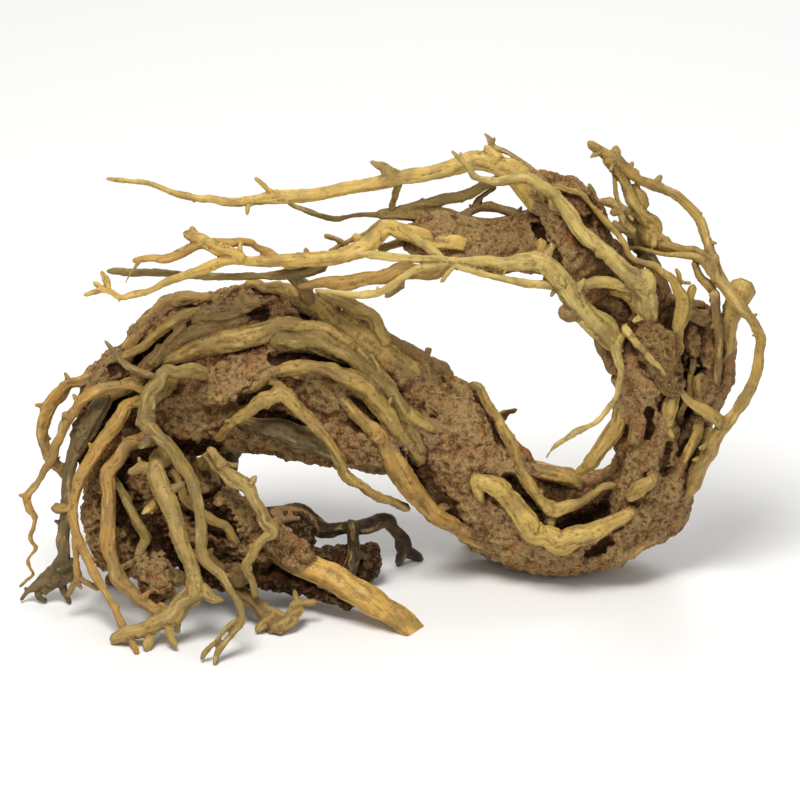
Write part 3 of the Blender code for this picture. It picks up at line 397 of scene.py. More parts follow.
rearWood = {
    "rearLongRoot": ["brown", (-188, 160, 70, 9), (-140, 184, 92, 12), (-90, 190, 97.5, 14),
        (-40, 176, 98, 14), (0, 156, 98, 15), (40, 136, 114, 15), (72, 106, 126, 14), (105, 92, 128, 13),
        (140, 102, 114, 12), (166, 124, 96, 10), (184, 152, 76, 10)],
    "rearLowRoot": [(-172, 138, 74, 10), (-120, 148, 98, 12), (-70, 152, 100, 13), (-20, 128, 94, 13),
        (20, 112, 108, 13), (60, 84, 122, 12), (100, 74, 126, 12), (135, 88, 118, 10)],
    "leftRearFoot": ["dark", (-92, 160, 96, 16), (-104, 126, 106, 15), (-110, 102, 122, 12),
        (-113, 84, 136, 10), (-119, 68, 139, 8)],
    "rightRearFoot": ["brown", (50, 116, 112, 18), (48, 96, 130, 13), (47, 82, 142, 10),
        (46, 70.5, 142, 8)],
    "rearToe": ["brown", (-146, 88, 78, 18), (-164, 62, 88, 10), (-176, 47, 92, 6)],
    "rearHeadRoot": [(92, 276, 36, 12), (118, 242, 50, 14), (140, 206, 62, 14), (160, 172, 70, 12),
        (168, 136, 84, 12)],
    "rearArmRoot": [(88, 258, 44, 12), (40, 256, 44, 9), (4, 252, 34, 7), (-12, 246, 26, 4)],
    "rearRib": ["olive", (-150, 150, 88, 8), (-110, 172, 100, 10), (-60, 168, 104, 10), (-10, 144, 102, 10),
        (30, 122, 116, 9)],
    "rearTrunkRib": [(60, 110, 124, 9), (90, 86, 132, 10), (124, 84, 126, 9), (156, 108, 106, 8)],
    "rearSlabFork": [(-34, 178, 100, 8), (-58, 194, 92, 8), (-84, 205, 83, 6), (-108, 212, 76, 5)],
    "rearCrossRoot": ["olive", (-138, 196, 80, 5), (-122, 174, 96, 7), (-108, 148, 99, 7),
        (-98, 124, 90, 5)],
    "rearShoulderRoot": ["golden", (-4, 166, 96, 6), (24, 156, 104, 8), (52, 136, 118, 9),
        (80, 116, 128, 8), (104, 112, 126, 6)],
    "rearShoulderFork": ["brown", (52, 136, 118, 7), (62, 146, 112, 5), (70, 150, 104, 3)],
    "rearColumnRoot": [(190, 204, 58, 7), (186, 178, 66, 8), (176, 148, 80, 8), (160, 122, 98, 7),
        (138, 104, 114, 5)],
    "rearColumnFork": ["olive", (178, 152, 78, 6), (162, 158, 82, 5), (150, 170, 76, 4)],
    "rearBellyRoot": ["bone", (16, 98, 112, 7), (44, 70, 122, 8), (76, 58, 126, 7), (104, 60, 124, 5)],
}

# What a user would change on each piece. "cell" is the grid that its skin is grown on, "lumps" and "grains"
# are how far its surface goes in and out, all in mm, and "knots" is how often a root has one.
pieces = {
    "crown_wood": {"roots": crownWood, "finish": "wood", "cell": 0.6, "lumps": 1.5, "knots": 0.9},
    "ridge_wood": {"roots": ridgeWood, "finish": "wood", "cell": 0.62, "lumps": 2.4, "knots": 0.6},
    "leg_wood": {"roots": legsWood, "finish": "wood", "cell": 0.66, "lumps": 1.7, "knots": 1.0},
    "stick_wood": {
        "roots": stickWood, "finish": "wood", "cell": 0.6, "lumps": 1.2, "knots": 0,
        "sawn": {"place": (-11, 44, 34), "facing": (0.6, 0.45, -0.66)},  # a point on the cut, and its normal
    },
    "trunk_wood": {"roots": trunkWood, "finish": "wood", "cell": 0.62, "lumps": 2.0, "knots": 0.6},
    "rear_wood": {"roots": rearWood, "finish": "wood", "cell": 0.8, "lumps": 2.6, "knots": 1.0},
    "crown_crust": {"roots": crownCrust, "finish": "crust", "cell": 0.7, "lumps": 5.5, "grains": 0.96},
    "ridge_crust": {"roots": ridgeCrust, "finish": "crust", "cell": 0.9, "lumps": 6.5, "grains": 1.08},
    "leg_crust": {"roots": legsCrust, "finish": "crust", "cell": 0.85, "lumps": 8.0, "grains": 1.56},
    "trunk_crust": {"roots": trunkCrust, "finish": "crust", "cell": 0.9, "lumps": 6.0, "grains": 0.96},
}
mostTriangles = 190000  # on each piece
groundGap = 0.00005  # m between the lowest points and the ground

chance = random.Random(lay["seed"])
coarse = 1.0


def linear(color):
    # 0 to 255 tones as the linear values that shaders take
    return tuple(((c / 255 + 0.055) / 1.055) ** 2.4 if c > 10 else c / 255 / 12.92 for c in color) + (1,)


def leaned(across, up, back):
    lean = lay["lean"]
    return Vector((across, up * sin(lean) + back * cos(lean), up * cos(lean) - back * sin(lean)))


def inFrame(across, up, back):
    return leaned(across, up, back) / 1000 + lay["origin"]


def only(piece):
    bpy.ops.object.select_all(action="DESELECT")
    piece.select_set(True)
    bpy.context.view_layer.objects.active = piece
    return piece


def readVectors(data, key="vector"):
    values = np.empty(len(data) * 3, np.float32)
    data.foreach_get(key, values)
    return values.reshape(-1, 3)


def readPoints(mesh):
    return readVectors(mesh.vertices, "co")


def readNormals(mesh):
    return readVectors(mesh.vertex_normals)


def readMark(mesh, name):
    return readVectors(mesh.attributes[name].data)


def writeMark(mesh, name, values):
    kind, key = {1: ("FLOAT", "value"), 2: ("FLOAT_VECTOR", "vector")}[values.ndim]
    found = mesh.attributes.get(name) or mesh.attributes.new(name, kind, "POINT")
    found.data.foreach_set(key, np.ascontiguousarray(values, np.float32).ravel())


def movePoints(mesh, places):
    mesh.vertices.foreach_set("co", places.astype(np.float32).ravel())
    mesh.update()


# Uneven outlines that roots are swept with, so that none is a round pipe: how many ridges each has, how
# high they are, and how far it is from round. Finer ridges lie between them.
outlines = {
    "roundOutline": (2, 0.05, 0.02),
    "ridgedOutline": (3, 0.09, 0.05),
    "ovalOutline": (2, 0.06, 0.14),
    "angularOutline": (4, 0.07, 0.06),
}
outlinePoints = 18
fineRidges = 0.6  # their height, as a share of the others'


def makeOutline(name, ridges, height, flat):
    curve = bpy.data.curves.new(name, "CURVE")
    curve.resolution_u = 1
    line = curve.splines.new("POLY")
    line.points.add(outlinePoints - 1)
    start = chance.uniform(0, 2 * pi)
    for i, point in enumerate(line.points):
        turn = 2 * pi * i / outlinePoints
        reach = 1 + height * cos(ridges * turn + start)
        reach += fineRidges * height * cos((ridges + 2) * turn - start)
        point.co = (reach * cos(turn) * (1 + flat), reach * sin(turn) * (1 - flat), 0, 1)
    line.use_cyclic_u = True
    outline = bpy.data.objects.new(name, curve)
    bpy.context.collection.objects.link(outline)
    return outline


outlineCurves = [makeOutline(name, *shape) for name, shape in outlines.items()]

# Ends of bare roots. Lengths and end thicknesses are shares of the thickness that the root ends with.
ends = {
    "dive": {"nearest": 6, "thickness": 0.8},  # within 6 mm of the crust an end dives into it
    "slimmest": 7,  # mm, a free end under this tapers, and a thicker one is rounded off
    "taper": {"length": 0.45, "thickness": 0.25},
    "round": {"length": 0.3, "thickness": 0.45},
}

crustPoints = [point for plan in pieces.values() if plan["finish"] == "crust"
               for form in plan["roots"].values() for point in form if not isinstance(point, str)]


def apart(here, there):
    return sum((p - q) ** 2 for p, q in zip(here[:3], there[:3])) ** 0.5


def finishEnd(tip, before):
    nearest = min(crustPoints, key=lambda point: apart(tip, point) - point[3] / 2)
    if apart(tip, nearest) - nearest[3] / 2 < ends["dive"]["nearest"]:
        inward = [(p + q) / 2 for p, q in zip(tip[:3], nearest[:3])]
        return [(*inward, tip[3] * ends["dive"]["thickness"])]
    shape = ends["taper" if tip[3] < ends["slimmest"] else "round"]
    reach = shape["length"] * tip[3] / max(apart(tip, before), 1)
    beyond = [p + (p - q) * reach for p, q in zip(tip[:3], before[:3])]
    return [(*beyond, tip[3] * shape["thickness"])]


# How a root strays from its points: sideways as a share of their distance, and in thickness, twist and
# tone. A stretch under "shortest" has no point between, and past "longest" it strays no further, in mm.
stray = {
    "sideways": 0.045, "thickness": 0.09, "twist": 0.5, "tone": (-0.1, 0.08), "shortest": 7, "longest": 14,
}
ringsBetween = 5  # rings of a root between two of its points


def wandering(points):
    # Adds a drifting point in the middle of each long stretch
    route = []
    for here, there in zip(points, points[1:]):
        route.append(here)
        span = apart(here, there)
        if span < stray["shortest"]:
            continue
        drift = stray["sideways"] * min(span, stray["longest"])
        middle = [(p + q) / 2 + chance.gauss(0, drift) for p, q in zip(here[:3], there[:3])]
        thickness = (here[3] + there[3]) / 2 * (1 + chance.gauss(0, stray["thickness"]))
        route.append((*middle, thickness))
    route.append(points[-1])
    return route


def growRoot(name, color, points, bare=True):
    # Sweeps an outline along the points. Only a bare root drifts and has its ends finished.
    route = points
    if bare:
        route = finishEnd(points[0], points[1]) + wandering(points) + finishEnd(points[-1], points[-2])
    curve = bpy.data.curves.new(name, "CURVE")
    curve.dimensions = "3D"
    curve.resolution_u = ringsBetween
    curve.bevel_mode = "OBJECT"
    curve.bevel_object = chance.choice(outlineCurves)
    curve.use_fill_caps = True
    spline = curve.splines.new("BEZIER")
    spline.bezier_points.add(len(route) - 1)
    tilt = chance.uniform(0, 6)  # any way round
    for knot, (across, up, back, thickness) in zip(spline.bezier_points, route):
        knot.co = inFrame(across, up, back)
        knot.radius = thickness / 2000  # mm across, as a radius in m
        tilt += chance.uniform(-stray["twist"], stray["twist"])
        knot.tilt = tilt
        knot.handle_left_type = knot.handle_right_type = "AUTO"
    root = bpy.data.objects.new(name, curve)
    bpy.context.collection.objects.link(root)
    only(root)
    bpy.ops.object.convert(target="MESH")
    markGrain(root.data)
    tone = np.array(linear(color)[:3]) * (1 + chance.uniform(*stray["tone"]))
    writeMark(root.data, "tone", np.tile(tone, (len(root.data.vertices), 1)))
    return root


def markGrain(mesh):
    # Each point keeps its place along and across its own root, so that the grain can follow it
    rings = readPoints(mesh).reshape(-1, outlinePoints, 3)
    middles = rings.mean(1)
    step = np.roll(middles, -1, 0) - middles
    step[-1] = step[-2]
    step[0] = step[1]  # the first two rings are the end caps
    length = np.linalg.norm(step, axis=1)
    axis = step / np.maximum(length, 1e-9)[:, None]
    side = np.cross(axis, (0.3, 0.9, 0.2))  # any way that no root runs along
    side /= np.maximum(np.linalg.norm(side, axis=1), 1e-9)[:, None]
    over = np.cross(axis, side)
    out = rings - middles[:, None]
    grain = np.empty_like(rings)
    grain[..., 0] = (np.cumsum(length) + chance.uniform(0, 9))[:, None]  # each root starts elsewhere
    grain[..., 1] = (out * side[:, None]).sum(2)
    grain[..., 2] = (out * over[:, None]).sum(2)
    writeMark(mesh, "grain", grain.reshape(-1, 3))


# Lumps and snapped side shoots on the points of a bare root. Ranges are shares of its thickness there.
shoots = {
    "often": 0.75,
    "thickest": 14,  # mm, a thicker root has none
    "foot": (0.6, 0.95),
    "sink": (-0.4, 0.6),  # how far back a shoot leans
    "thorny": {"often": 0.5, "thinnest": 3.5, "length": (0.75, 1.1), "tip": (0.12, 0.3)},
    "lumpy": {"length": (0.3, 0.7), "tip": (0.4, 0.65)},
}


def growKnots(name, color, points, share):
    knots = []
    for i, (across, up, back, thickness) in enumerate(points[1:-1]):
        if chance.random() > shoots["often"] * share or thickness > shoots["thickest"]:
            continue
        kind = shoots["thorny"]
        if chance.random() >= kind["often"] or thickness <= kind["thinnest"]:
            kind = shoots["lumpy"]
        reach = thickness * chance.uniform(*kind["length"])
        turn = chance.uniform(0, 2 * pi)
        sink = reach * chance.uniform(*shoots["sink"])
        tip = (across + reach * cos(turn), up + reach * sin(turn), back - sink)
        foot = (across, up, back, thickness * chance.uniform(*shoots["foot"]))
        end = (*tip, thickness * chance.uniform(*kind["tip"]))
        knots.append(growRoot(f"{name}Knot{i}", color, [foot, end], False))
    return knots


passes = {"marks": 5, "relief": 8}  # how often points are averaged with their neighbours
reliefUnit = 0.0003  # m that a point stands out of the skin round it where its relief is 1


def averaged(mesh, values, times):
    # Each point's values averaged with its neighbours', so many times over
    edges = np.empty(len(mesh.edges) * 2, np.int32)
    mesh.edges.foreach_get("vertices", edges)
    pairs = edges.reshape(-1, 2).T
    count = len(values)
    links = np.bincount(edges, minlength=count)[:, None] + 1
    for _ in range(times):
        total = values.copy()
        for axis in range(3):
            for here, there in (pairs, pairs[::-1]):
                total[:, axis] += np.bincount(here, values[there, axis], count)
        values = total / links
    return values


def markRelief(mesh):
    # Above 0 where a point stands out of the skin round it, below 0 in a crease
    places = readPoints(mesh)
    height = ((places - averaged(mesh, places, passes["relief"])) * readNormals(mesh)).sum(1)
    writeMark(mesh, "relief", height / reliefUnit)


def fuse(name, parts, cell):
    # Joins overlapping roots into one closed skin that keeps their grain and tone
    bpy.ops.object.select_all(action="DESELECT")
    for part in parts:
        part.select_set(True)
    bpy.context.view_layer.objects.active = parts[0]
    bpy.ops.object.join()
    piece = only(bpy.context.object)
    piece.name = piece.data.name = name
    piece.data.remesh_voxel_size = cell * coarse / 1000
    piece.data.use_remesh_preserve_attributes = True
    bpy.ops.object.voxel_remesh()
    for mark in ("grain", "tone"):
        writeMark(piece.data, mark, averaged(piece.data, readMark(piece.data, mark), passes["marks"]))
    return piece


def apply(piece, kind, **settings):
    modifier = piece.modifiers.new(kind.lower(), kind)
    for key, value in settings.items():
        setattr(modifier, key, value)
    only(piece)
    bpy.ops.object.modifier_apply(modifier=modifier.name)


def roughen(piece, kind, size, depth, **settings):
    # Pushes the surface in and out by a noise of that size, both in mm
    texture = bpy.data.textures.new(piece.name + kind.lower(), kind)
    texture.noise_scale = size / 1000
    for key, value in settings.items():
        setattr(texture, key, value)
    apply(piece, "DISPLACE", texture=texture, strength=depth / 1000, mid_level=0.5, texture_coords="LOCAL")


# Grooves along the roots. Each set has a count round the root, a twist and a swaying along it, and a share
# of the depth. The depth is a share of the root's half thickness, which counts up to "widest", in m.
flutes = {
    "sets": ({"count": 4, "twist": 0, "sway": (5, 35), "share": 1},
             {"count": 7, "twist": -70, "sway": (2, 90), "share": 0.7}),
    "depth": 0.055,
    "widest": 0.006,
}


def flute(piece):
    mesh = piece.data
    along, side, over = readMark(mesh, "grain").T
    turn = np.arctan2(over, side)
    wave = 0
    for grooves in flutes["sets"]:
        sway, pace = grooves["sway"]
        phase = grooves["count"] * turn + along * grooves["twist"] + sway * np.sin(along * pace)
        wave = wave + grooves["share"] * np.sin(phase)
    depth = np.minimum(np.hypot(side, over), flutes["widest"]) * flutes["depth"]
    movePoints(mesh, readPoints(mesh) + (wave * depth)[:, None] * readNormals(mesh))


# Ragged edges of the hollows: how far they sway, and how fast across and up, per mm
ragged = {"sway": 0.16, "waves": ((1.1, 0.5), (-0.4, 1.7))}
hollowUnit = 8  # mm deep where the mark of a hollow is 1


def hollowOut(piece):
    # Presses the hollows into the front of the crust, and marks how deep each point lies in one
    mesh = piece.data
    places = readPoints(mesh)
    lean = lay["lean"]
    inward = np.array((0, cos(lean), -sin(lean)))
    local = (places - np.array(lay["origin"])) * 1000
    across = local[:, 0]
    up = local[:, 1] * sin(lean) + local[:, 2] * cos(lean)
    front = np.clip(-(readNormals(mesh) @ inward) * 2, 0, 1)  # 1 where the skin faces the front
    depth = np.zeros(len(places))
    ripple = 1
    for perAcross, perUp in ragged["waves"]:
        ripple = ripple + ragged["sway"] * np.sin(across * perAcross + up * perUp)
    for halfWidth, deep, *route in hollows.values():
        away = np.full(len(places), 9.0)  # in half widths, at first far off
        for here, there in zip(route, route[1:]):
            run = np.subtract(there, here)
            part = np.clip(((across - here[0]) * run[0] + (up - here[1]) * run[1]) / (run @ run), 0, 1)
            gap = np.hypot(across - here[0] - part * run[0], up - here[1] - part * run[1])
            away = np.minimum(away, gap * ripple / halfWidth)
        depth = np.maximum(depth, deep * np.clip(1 - away**2, 0, 1))
    depth *= front
    movePoints(mesh, places + (depth / 1000)[:, None] * inward)
    writeMark(mesh, "hollow", depth / hollowUnit)


def cutAcross(piece, place, facing):
    # Slices off what lies beyond a plane and closes the cut
    only(piece)
    bpy.ops.object.mode_set(mode="EDIT")
    bpy.ops.mesh.select_all(action="SELECT")
    bpy.ops.mesh.bisect(plane_co=place, plane_no=facing, use_fill=True, clear_outer=True, threshold=1e-6)
    bpy.ops.mesh.select_all(action="SELECT")
    bpy.ops.mesh.quads_convert_to_tris(quad_method="BEAUTY", ngon_method="BEAUTY")
    bpy.ops.object.mode_set(mode="OBJECT")


# What weathers a skin: smoothing as a factor and passes, and lumps as a kind of noise, its size in mm, a
# share of the piece's own lumps, and settings
weather = {
    "wood": {
        "smooth": (0.5, 3),
        "lumps": (("CLOUDS", 9, 1, {}), ("CLOUDS", 3, 0.4, {})),
    },
    "crust": {
        "smooth": (0.7, 40),
        "settle": (0.5, 8),  # once the hollows are pressed in
        "lumps": (
            ("CLOUDS", 15, 1, {"noise_depth": 2}),
            ("STUCCI", 5, 0.4, {"turbulence": 6}),
            ("CLOUDS", 4, 0.4, {"noise_depth": 3}),
        ),
        "grainSize": 2.2,  # mm
    },
}


def smooth(piece, factor, times):
    apply(piece, "SMOOTH", factor=factor, iterations=times)


def smoothCrust(piece, factor, times):
    smooth(piece, factor, round(times / coarse**2))  # a coarse skin needs fewer passes


def makeLumpy(piece, plan):
    for kind, size, share, settings in weather[plan["finish"]]["lumps"]:
        roughen(piece, kind, size, plan["lumps"] * share, **settings)


def weatherWood(piece, plan):
    smooth(piece, *weather["wood"]["smooth"])
    makeLumpy(piece, plan)
    flute(piece)


def weatherCrust(piece, plan):
    smoothCrust(piece, *weather["crust"]["smooth"])
    hollowOut(piece)
    smoothCrust(piece, *weather["crust"]["settle"])
    makeLumpy(piece, plan)
    roughen(piece, "VORONOI", weather["crust"]["grainSize"], plan["grains"])


def makePiece(name, plan):
    parts = []
    wooden = plan["finish"] == "wood"
    for rootName, points in plan["roots"].items():
        tone = "usual"
        if isinstance(points[0], str):
            tone, *points = points
        color = (tones if wooden else tints)[tone]
        parts.append(growRoot(rootName, color, points, wooden))
        if wooden:
            parts += growKnots(rootName, color, points, plan["knots"])
    piece = fuse(name, parts, plan["cell"])
    if wooden:
        weatherWood(piece, plan)
    else:
        weatherCrust(piece, plan)
    triangles = 2 * len(piece.data.polygons)
    if triangles > mostTriangles:
        apply(piece, "DECIMATE", ratio=mostTriangles / triangles)
    if "sawn" in plan:
        cutAcross(piece, inFrame(*plan["sawn"]["place"]), leaned(*plan["sawn"]["facing"]))
    cutAcross(piece, (0, 0, cadBox[0].z + groundGap), (0, 0, -1))
    piece.data.shade_smooth()
    if "sawn" in plan:
        only(piece)
        bpy.ops.object.shade_smooth_by_angle(angle=radians(50))
    markRelief(piece.data)
    print(name, len(piece.data.polygons), "faces")
    return piece


# Grid that tells how far a point is closed in, which the finishes paint as shade: its cell and margin, and
# the lift of a point off its own skin, in m, and how many cells each way count
shelter = {"cell": 0.0025, "margin": 0.03, "lift": 0.004, "steps": 6}


def soften(grid):
    for axis in range(3):
        grid = (np.roll(grid, 1, axis) + grid + np.roll(grid, -1, axis)) / 3
    return grid


def occupied(objects):
    # A grid with the value 1 where there is surface, and its lowest corner
    low = np.array(cadBox[0]) - shelter["margin"]
    high = np.array(cadBox[1]) + shelter["margin"]
    grid = np.zeros(np.ceil((high - low) / shelter["cell"]).astype(int), np.float32)
    for piece in objects:
        grid[tuple(((readPoints(piece.data) - low) / shelter["cell"]).astype(int).T)] = 1
    return grid, low


def enclosed(grid):
    # The share of directions in which wood lies near
    solid = grid > 0
    blocked = np.zeros(grid.shape, np.float32)
    for direction in np.ndindex(3, 3, 3):
        way = np.array(direction) - 1
        hit = np.zeros(grid.shape, bool)
        for step in range(1, shelter["steps"] + 1):
            hit |= np.roll(solid, tuple(way * step), (0, 1, 2))
        blocked += hit
    return soften(blocked / 27)


def sample(grid, low, places):
    # Reads the grid between its cells
    at = (places - low) / shelter["cell"] - 0.5
    base = np.clip(np.floor(at).astype(int), 0, np.array(grid.shape) - 2)
    part = np.clip(at - base, 0, 1)
    total = np.zeros(len(places), np.float32)
    for corner in np.ndindex(2, 2, 2):
        weight = np.prod(np.where(corner, part, 1 - part), axis=1)
        total += weight * grid[tuple((base + corner).T)]
    return total


# Marks how closed in each point is, for the painted shade, and how near the crust it lies
def markPaintedShadeAndCrust(made):
    solid, low = occupied(made.values())
    dark = enclosed(solid)
    crust = soften(occupied([piece for name, piece in made.items() if "crust" in name])[0])
    for piece in made.values():
        mesh = piece.data
        places = readPoints(mesh)
        writeMark(mesh, "shelter", sample(dark, low, places + readNormals(mesh) * shelter["lift"]))
        writeMark(mesh, "crusted", sample(crust, low, places))


class Value:
    # A shader socket that takes part in plain expressions
    def __init__(self, finish, socket):
        self.finish = finish
        self.socket = socket

    def maths(self, operation, first, second):
        return self.finish.node("Math", {"operation": operation}, {0: first, 1: second})

    def __add__(self, other):
        return self.maths("ADD", self, other)

    def __mul__(self, other):
        return self.maths("MULTIPLY", self, other)

    def __sub__(self, other):
        return self.maths("SUBTRACT", self, other)

    def __rsub__(self, other):
        return self.maths("SUBTRACT", other, self)

    __radd__ = __add__
    __rmul__ = __mul__


class Finish:
    def __init__(self, name):
        self.material = bpy.data.materials.new(name)
        self.material.use_nodes = True
        self.tree = self.material.node_tree

    def node(self, kind, settings=None, inputs=None, output=0):
        node = self.tree.nodes.new("ShaderNode" + kind)
        for key, value in (settings or {}).items():
            if key == "stops":
                self.setStops(node.color_ramp, value)
            else:
                setattr(node, key, value)
        self.plug(node, inputs or {})
        return Value(self, node.outputs[output])

    def setStops(self, ramp, stops):
        while len(ramp.elements) < len(stops):
            ramp.elements.new(0.5)
        for element, (place, color) in zip(ramp.elements, stops):
            element.position = place
            element.color = linear(color)

    def plug(self, node, inputs):
        for key, value in inputs.items():
            if isinstance(value, Value):
                self.tree.links.new(value.socket, node.inputs[key])
            else:
                node.inputs[key].default_value = value

    def shade(self, inputs):
        # Plugs values into the surface shader, and gives the finished material
        self.plug(self.tree.nodes["Principled BSDF"], inputs)
        return self.material

    def attribute(self, name, output="Fac"):
        return self.node("Attribute", {"attribute_name": name}, output=output)

    def noise(self, place, scale, detail=3, rough=0.55, distort=0):
        inputs = {"Vector": place, "Scale": scale, "Detail": detail}
        return self.node("TexNoise", {}, {**inputs, "Roughness": rough, "Distortion": distort})

    def streaks(self, grain, scale, *noise):
        # A noise drawn out along the roots: how fine it is along them, and how fine across
        along, across = scale
        inputs = {0: grain, 1: (along, across, across)}
        return self.noise(self.node("VectorMath", {"operation": "MULTIPLY"}, inputs), 1, *noise)

    def step(self, value, low, high):
        # 0 below low, 1 above high
        return self.node("MapRange", {"interpolation_type": "SMOOTHSTEP"}, {"Value": value, 1: low, 2: high})

    def mix(self, factor, first, second, blend="MIX"):
        settings = {"data_type": "RGBA", "blend_type": blend}
        return self.node("Mix", settings, {0: factor, 6: first, 7: second}, 2)

    def layers(self, color, *layers):
        # Lays tones over a color one by one, each as far as its mask and its share say
        for mask, share, tone in layers:
            color = self.mix(mask * share, color, linear(tone))
        return color

    def bumps(self, *layers):
        # Bumps on bumps: height, distance in m, strength
        normal = {}
        for height, distance, strength in layers:
            inputs = {"Height": height, "Distance": distance, "Strength": strength, **normal}
            normal = {"Normal": self.node("Bump", {}, inputs)}
        return normal["Normal"]


def crustColor(finish, place):
    # Bark meal: grey-brown with tan and dark grains, in patches, and rusty in places
    grains = finish.noise(place, 850, 3, 0.7)
    clumps = finish.noise(place, 250, 4, 0.65)
    patches = {"Fac": finish.noise(place, 48, 4, 0.6)}
    stops = ((0.3, (116, 80, 46)), (0.45, (140, 107, 68)), (0.57, (149, 122, 82)), (0.72, (156, 128, 72)))
    color = finish.layers(
        finish.node("ValToRGB", {"stops": stops}, patches),
        (finish.step(grains, 0.5, 0.64), 0.65, (198, 166, 108)),
        (finish.step(clumps, 0.52, 0.66), 0.75, (76, 48, 26)),
        (finish.step(finish.noise(place, 90, 3, 0.6), 0.55, 0.68), 0.5, (150, 88, 44)),
    )
    return color, grains, clumps


def woodFinish():
    finish = Finish("bareRootWood")
    place = finish.node("TexCoord", output="Object")
    grain = finish.attribute("grain", "Vector")
    tone = finish.attribute("tone", "Vector")
    crusted = finish.attribute("crusted")
    streaks = finish.streaks(grain, (45, 380), 4, 0.6, 0.6)
    fibres = finish.streaks(grain, (130, 2400), 3, 0.6)
    paintedHighlightStreaks = finish.streaks(grain, (50, 260), 4, 0.6)
    stains = finish.streaks(grain, (55, 240), 5, 0.7, 0.8)
    edge = crusted + finish.noise(place, 160, 4, 0.6) * 0.5
    color = finish.layers(
        finish.mix(finish.step(streaks, 0.4, 0.66) * 0.45, tone, linear((176, 146, 98)), "MULTIPLY"),
        (finish.step(fibres, 0.5, 0.75), 0.18, (96, 72, 42)),
        (finish.step(finish.noise(place, 60, 3, 0.55), 0.45, 0.62), 0.5, (118, 99, 62)),  # dull patches
        # Painted highlights: pale cream streaks along the grain
        (finish.step(paintedHighlightStreaks, 0.54, 0.68), 0.42, (216, 191, 124)),
        (finish.step(stains, 0.56, 0.68), 0.55, (96, 68, 36)),
        (finish.step(finish.noise(place, 140, 5, 0.7), 0.58, 0.68), 0.5, (84, 58, 32)),  # dark blots
        (finish.step(finish.noise(place, 85, 3, 0.6), 0.56, 0.68), 0.3, (160, 108, 52)),  # warm patches
        (finish.step(finish.noise(place, 420, 2, 0.5), 0.66, 0.72), 0.6, (72, 48, 28)),  # specks
        (1 - finish.step(finish.attribute("relief"), -0.6, 0.1), 0.5, (88, 62, 34)),  # painted shade in the creases
        (finish.step(edge, 0.42, 0.75), 0.6, (108, 76, 42)),
    )
    crust, grains, clumps = crustColor(finish, place)
    creep = finish.step(finish.noise(place, 130, 4, 0.65) * 0.9 + crusted, 0.7, 0.8)
    # Painted shade: closed-in places of the bare wood turn near black brown
    hollow = finish.attribute("shelter") + finish.noise(place, 120, 3) * 0.2
    color = finish.mix(creep, color, crust)
    return finish.shade({
        "Base Color": finish.layers(color, (finish.step(hollow, 0.84, 1.06), 0.85, (48, 30, 15))),
        "Roughness": 0.5 + fibres * 0.2 + creep * 0.25,
        "Specular IOR Level": 0.32,
        "Normal": finish.bumps(
            (streaks, 0.0006, 0.4), (fibres, 0.0002, 0.35), (creep * (grains + clumps), 0.0009, 0.8)
        ),
    })


def crustFinish():
    finish = Finish("crustedRootBark")
    place = finish.node("TexCoord", output="Object")
    relief = finish.attribute("relief")
    # How closed in the crust is and how deep it lies in a hollow: it lays the bark's own reddish brown round
    # its holes, and painted shade in them
    holesAndShade = finish.attribute("shelter") + finish.attribute("hollow") * 0.22
    hollow = finish.step(holesAndShade + finish.noise(place, 120, 3) * 0.15, 0.7, 0.95)
    pits = finish.node("TexVoronoi", {}, {"Vector": place, "Scale": 230})
    color, grains, clumps = crustColor(finish, place)
    crumbs = 1 - finish.step(grains, 0.56, 0.62) * 0.55
    color = finish.layers(
        finish.mix(1.0, color, finish.attribute("tone", "Vector"), "MULTIPLY"),
        # Painted highlight on the raised bumps, and painted shade in the creases
        (finish.step(relief, 0.3, 1.6), 0.16, (186, 156, 112)),
        (1 - finish.step(relief, -1.8, -0.3), 0.5, (66, 44, 26)),
        (finish.step(holesAndShade, 0.6, 0.75), 0.4, (112, 66, 34)),
        # Painted shade: closed-in places and hollows turn near black, less on the tan grains
        (hollow * crumbs, 0.88, (48, 28, 13)),
        (1 - finish.step(pits, 0.1, 0.34), 0.5, (48, 30, 18)),
    )
    return finish.shade({
        "Base Color": color,
        "Roughness": 0.92,
        "Specular IOR Level": 0.15,
        "Normal": finish.bumps((clumps, 0.0022, 0.9), (grains, 0.0009, 0.9)),
    })


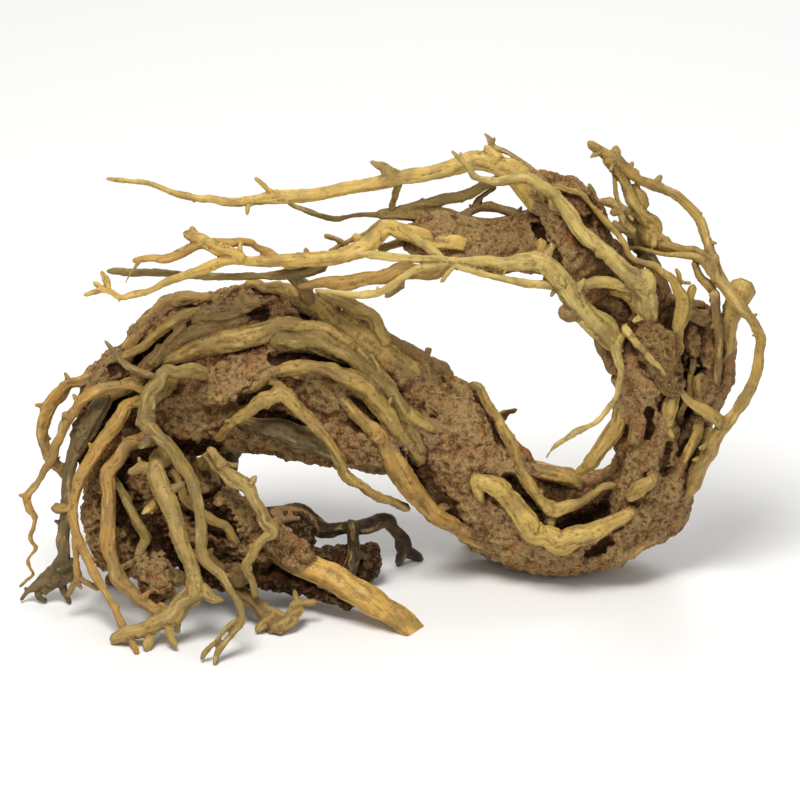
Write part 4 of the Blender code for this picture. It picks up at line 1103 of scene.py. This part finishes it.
studio = {
    "distance": 6.0,  # camera to root, in m
    "frameWidth": 0.48,  # what the view spans at the root
    "middle": (0, 156, 45),  # what the camera looks at, in the root's plane
    "floor": (0.9, 0.9, 0.895, 1),
    "air": 0.34,
    "lamps": {  # place, size, power and color
        "keyLamp": ((-0.35, -0.75, 1.8), 0.8, 33, (1, 0.98, 0.95)),
        "fillLamp": ((1.2, -1.3, 0.8), 1.2, 5, (0.95, 0.97, 1)),
        "backLamp": ((0.2, 1.2, 1.6), 1.0, 12, (1, 1, 1)),
    },
    "lampsFace": (0, 0, 0.12),
}


def makeCamera():
    toCamera = leaned(0, 0, -1)
    bpy.ops.object.camera_add(location=inFrame(*studio["middle"]) + toCamera * studio["distance"])
    camera = bpy.context.object
    camera.rotation_euler = (-toCamera).to_track_quat("-Z", "Y").to_euler()
    camera.data.lens = camera.data.sensor_width * studio["distance"] / studio["frameWidth"]
    camera.data.clip_end = 40
    bpy.context.scene.camera = camera


def makeLamps():
    for name, (place, size, power, color) in studio["lamps"].items():
        bpy.ops.object.light_add(type="AREA", location=place)
        lamp = bpy.context.object
        lamp.name = name
        facing = Vector(studio["lampsFace"]) - Vector(place)
        lamp.rotation_euler = facing.to_track_quat("-Z", "Y").to_euler()
        lamp.data.size = size
        lamp.data.energy = power
        lamp.data.color = color


def makeFloor():
    bpy.ops.mesh.primitive_plane_add(size=24, location=(0, 0, cadBox[0].z - 0.0002))
    floor = bpy.context.object
    floor.name = "floor"
    floor.data.materials.append(Finish("palePaper").shade({"Base Color": studio["floor"], "Roughness": 0.9}))


def makeAir():
    world = bpy.data.worlds.new("studioAir")
    world.use_nodes = True
    air = world.node_tree.nodes["Background"]
    air.inputs["Color"].default_value = (1, 1, 1, 1)
    air.inputs["Strength"].default_value = studio["air"]
    bpy.context.scene.world = world
    bpy.context.scene.view_settings.view_transform = "Standard"


made = {name: makePiece(name, plan) for name, plan in pieces.items()}
for outline in outlineCurves:
    bpy.data.objects.remove(outline)
markPaintedShadeAndCrust(made)
print("shelter marked")

finishes = {"wood": woodFinish(), "crust": crustFinish()}
for name, piece in made.items():
    piece.data.materials.clear()
    piece.data.materials.append(finishes[pieces[name]["finish"]])
    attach(piece, "root")
    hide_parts("dry_root")
print("finishes set")

makeCamera()
makeFloor()
makeLamps()
makeAir()
print("studio set")
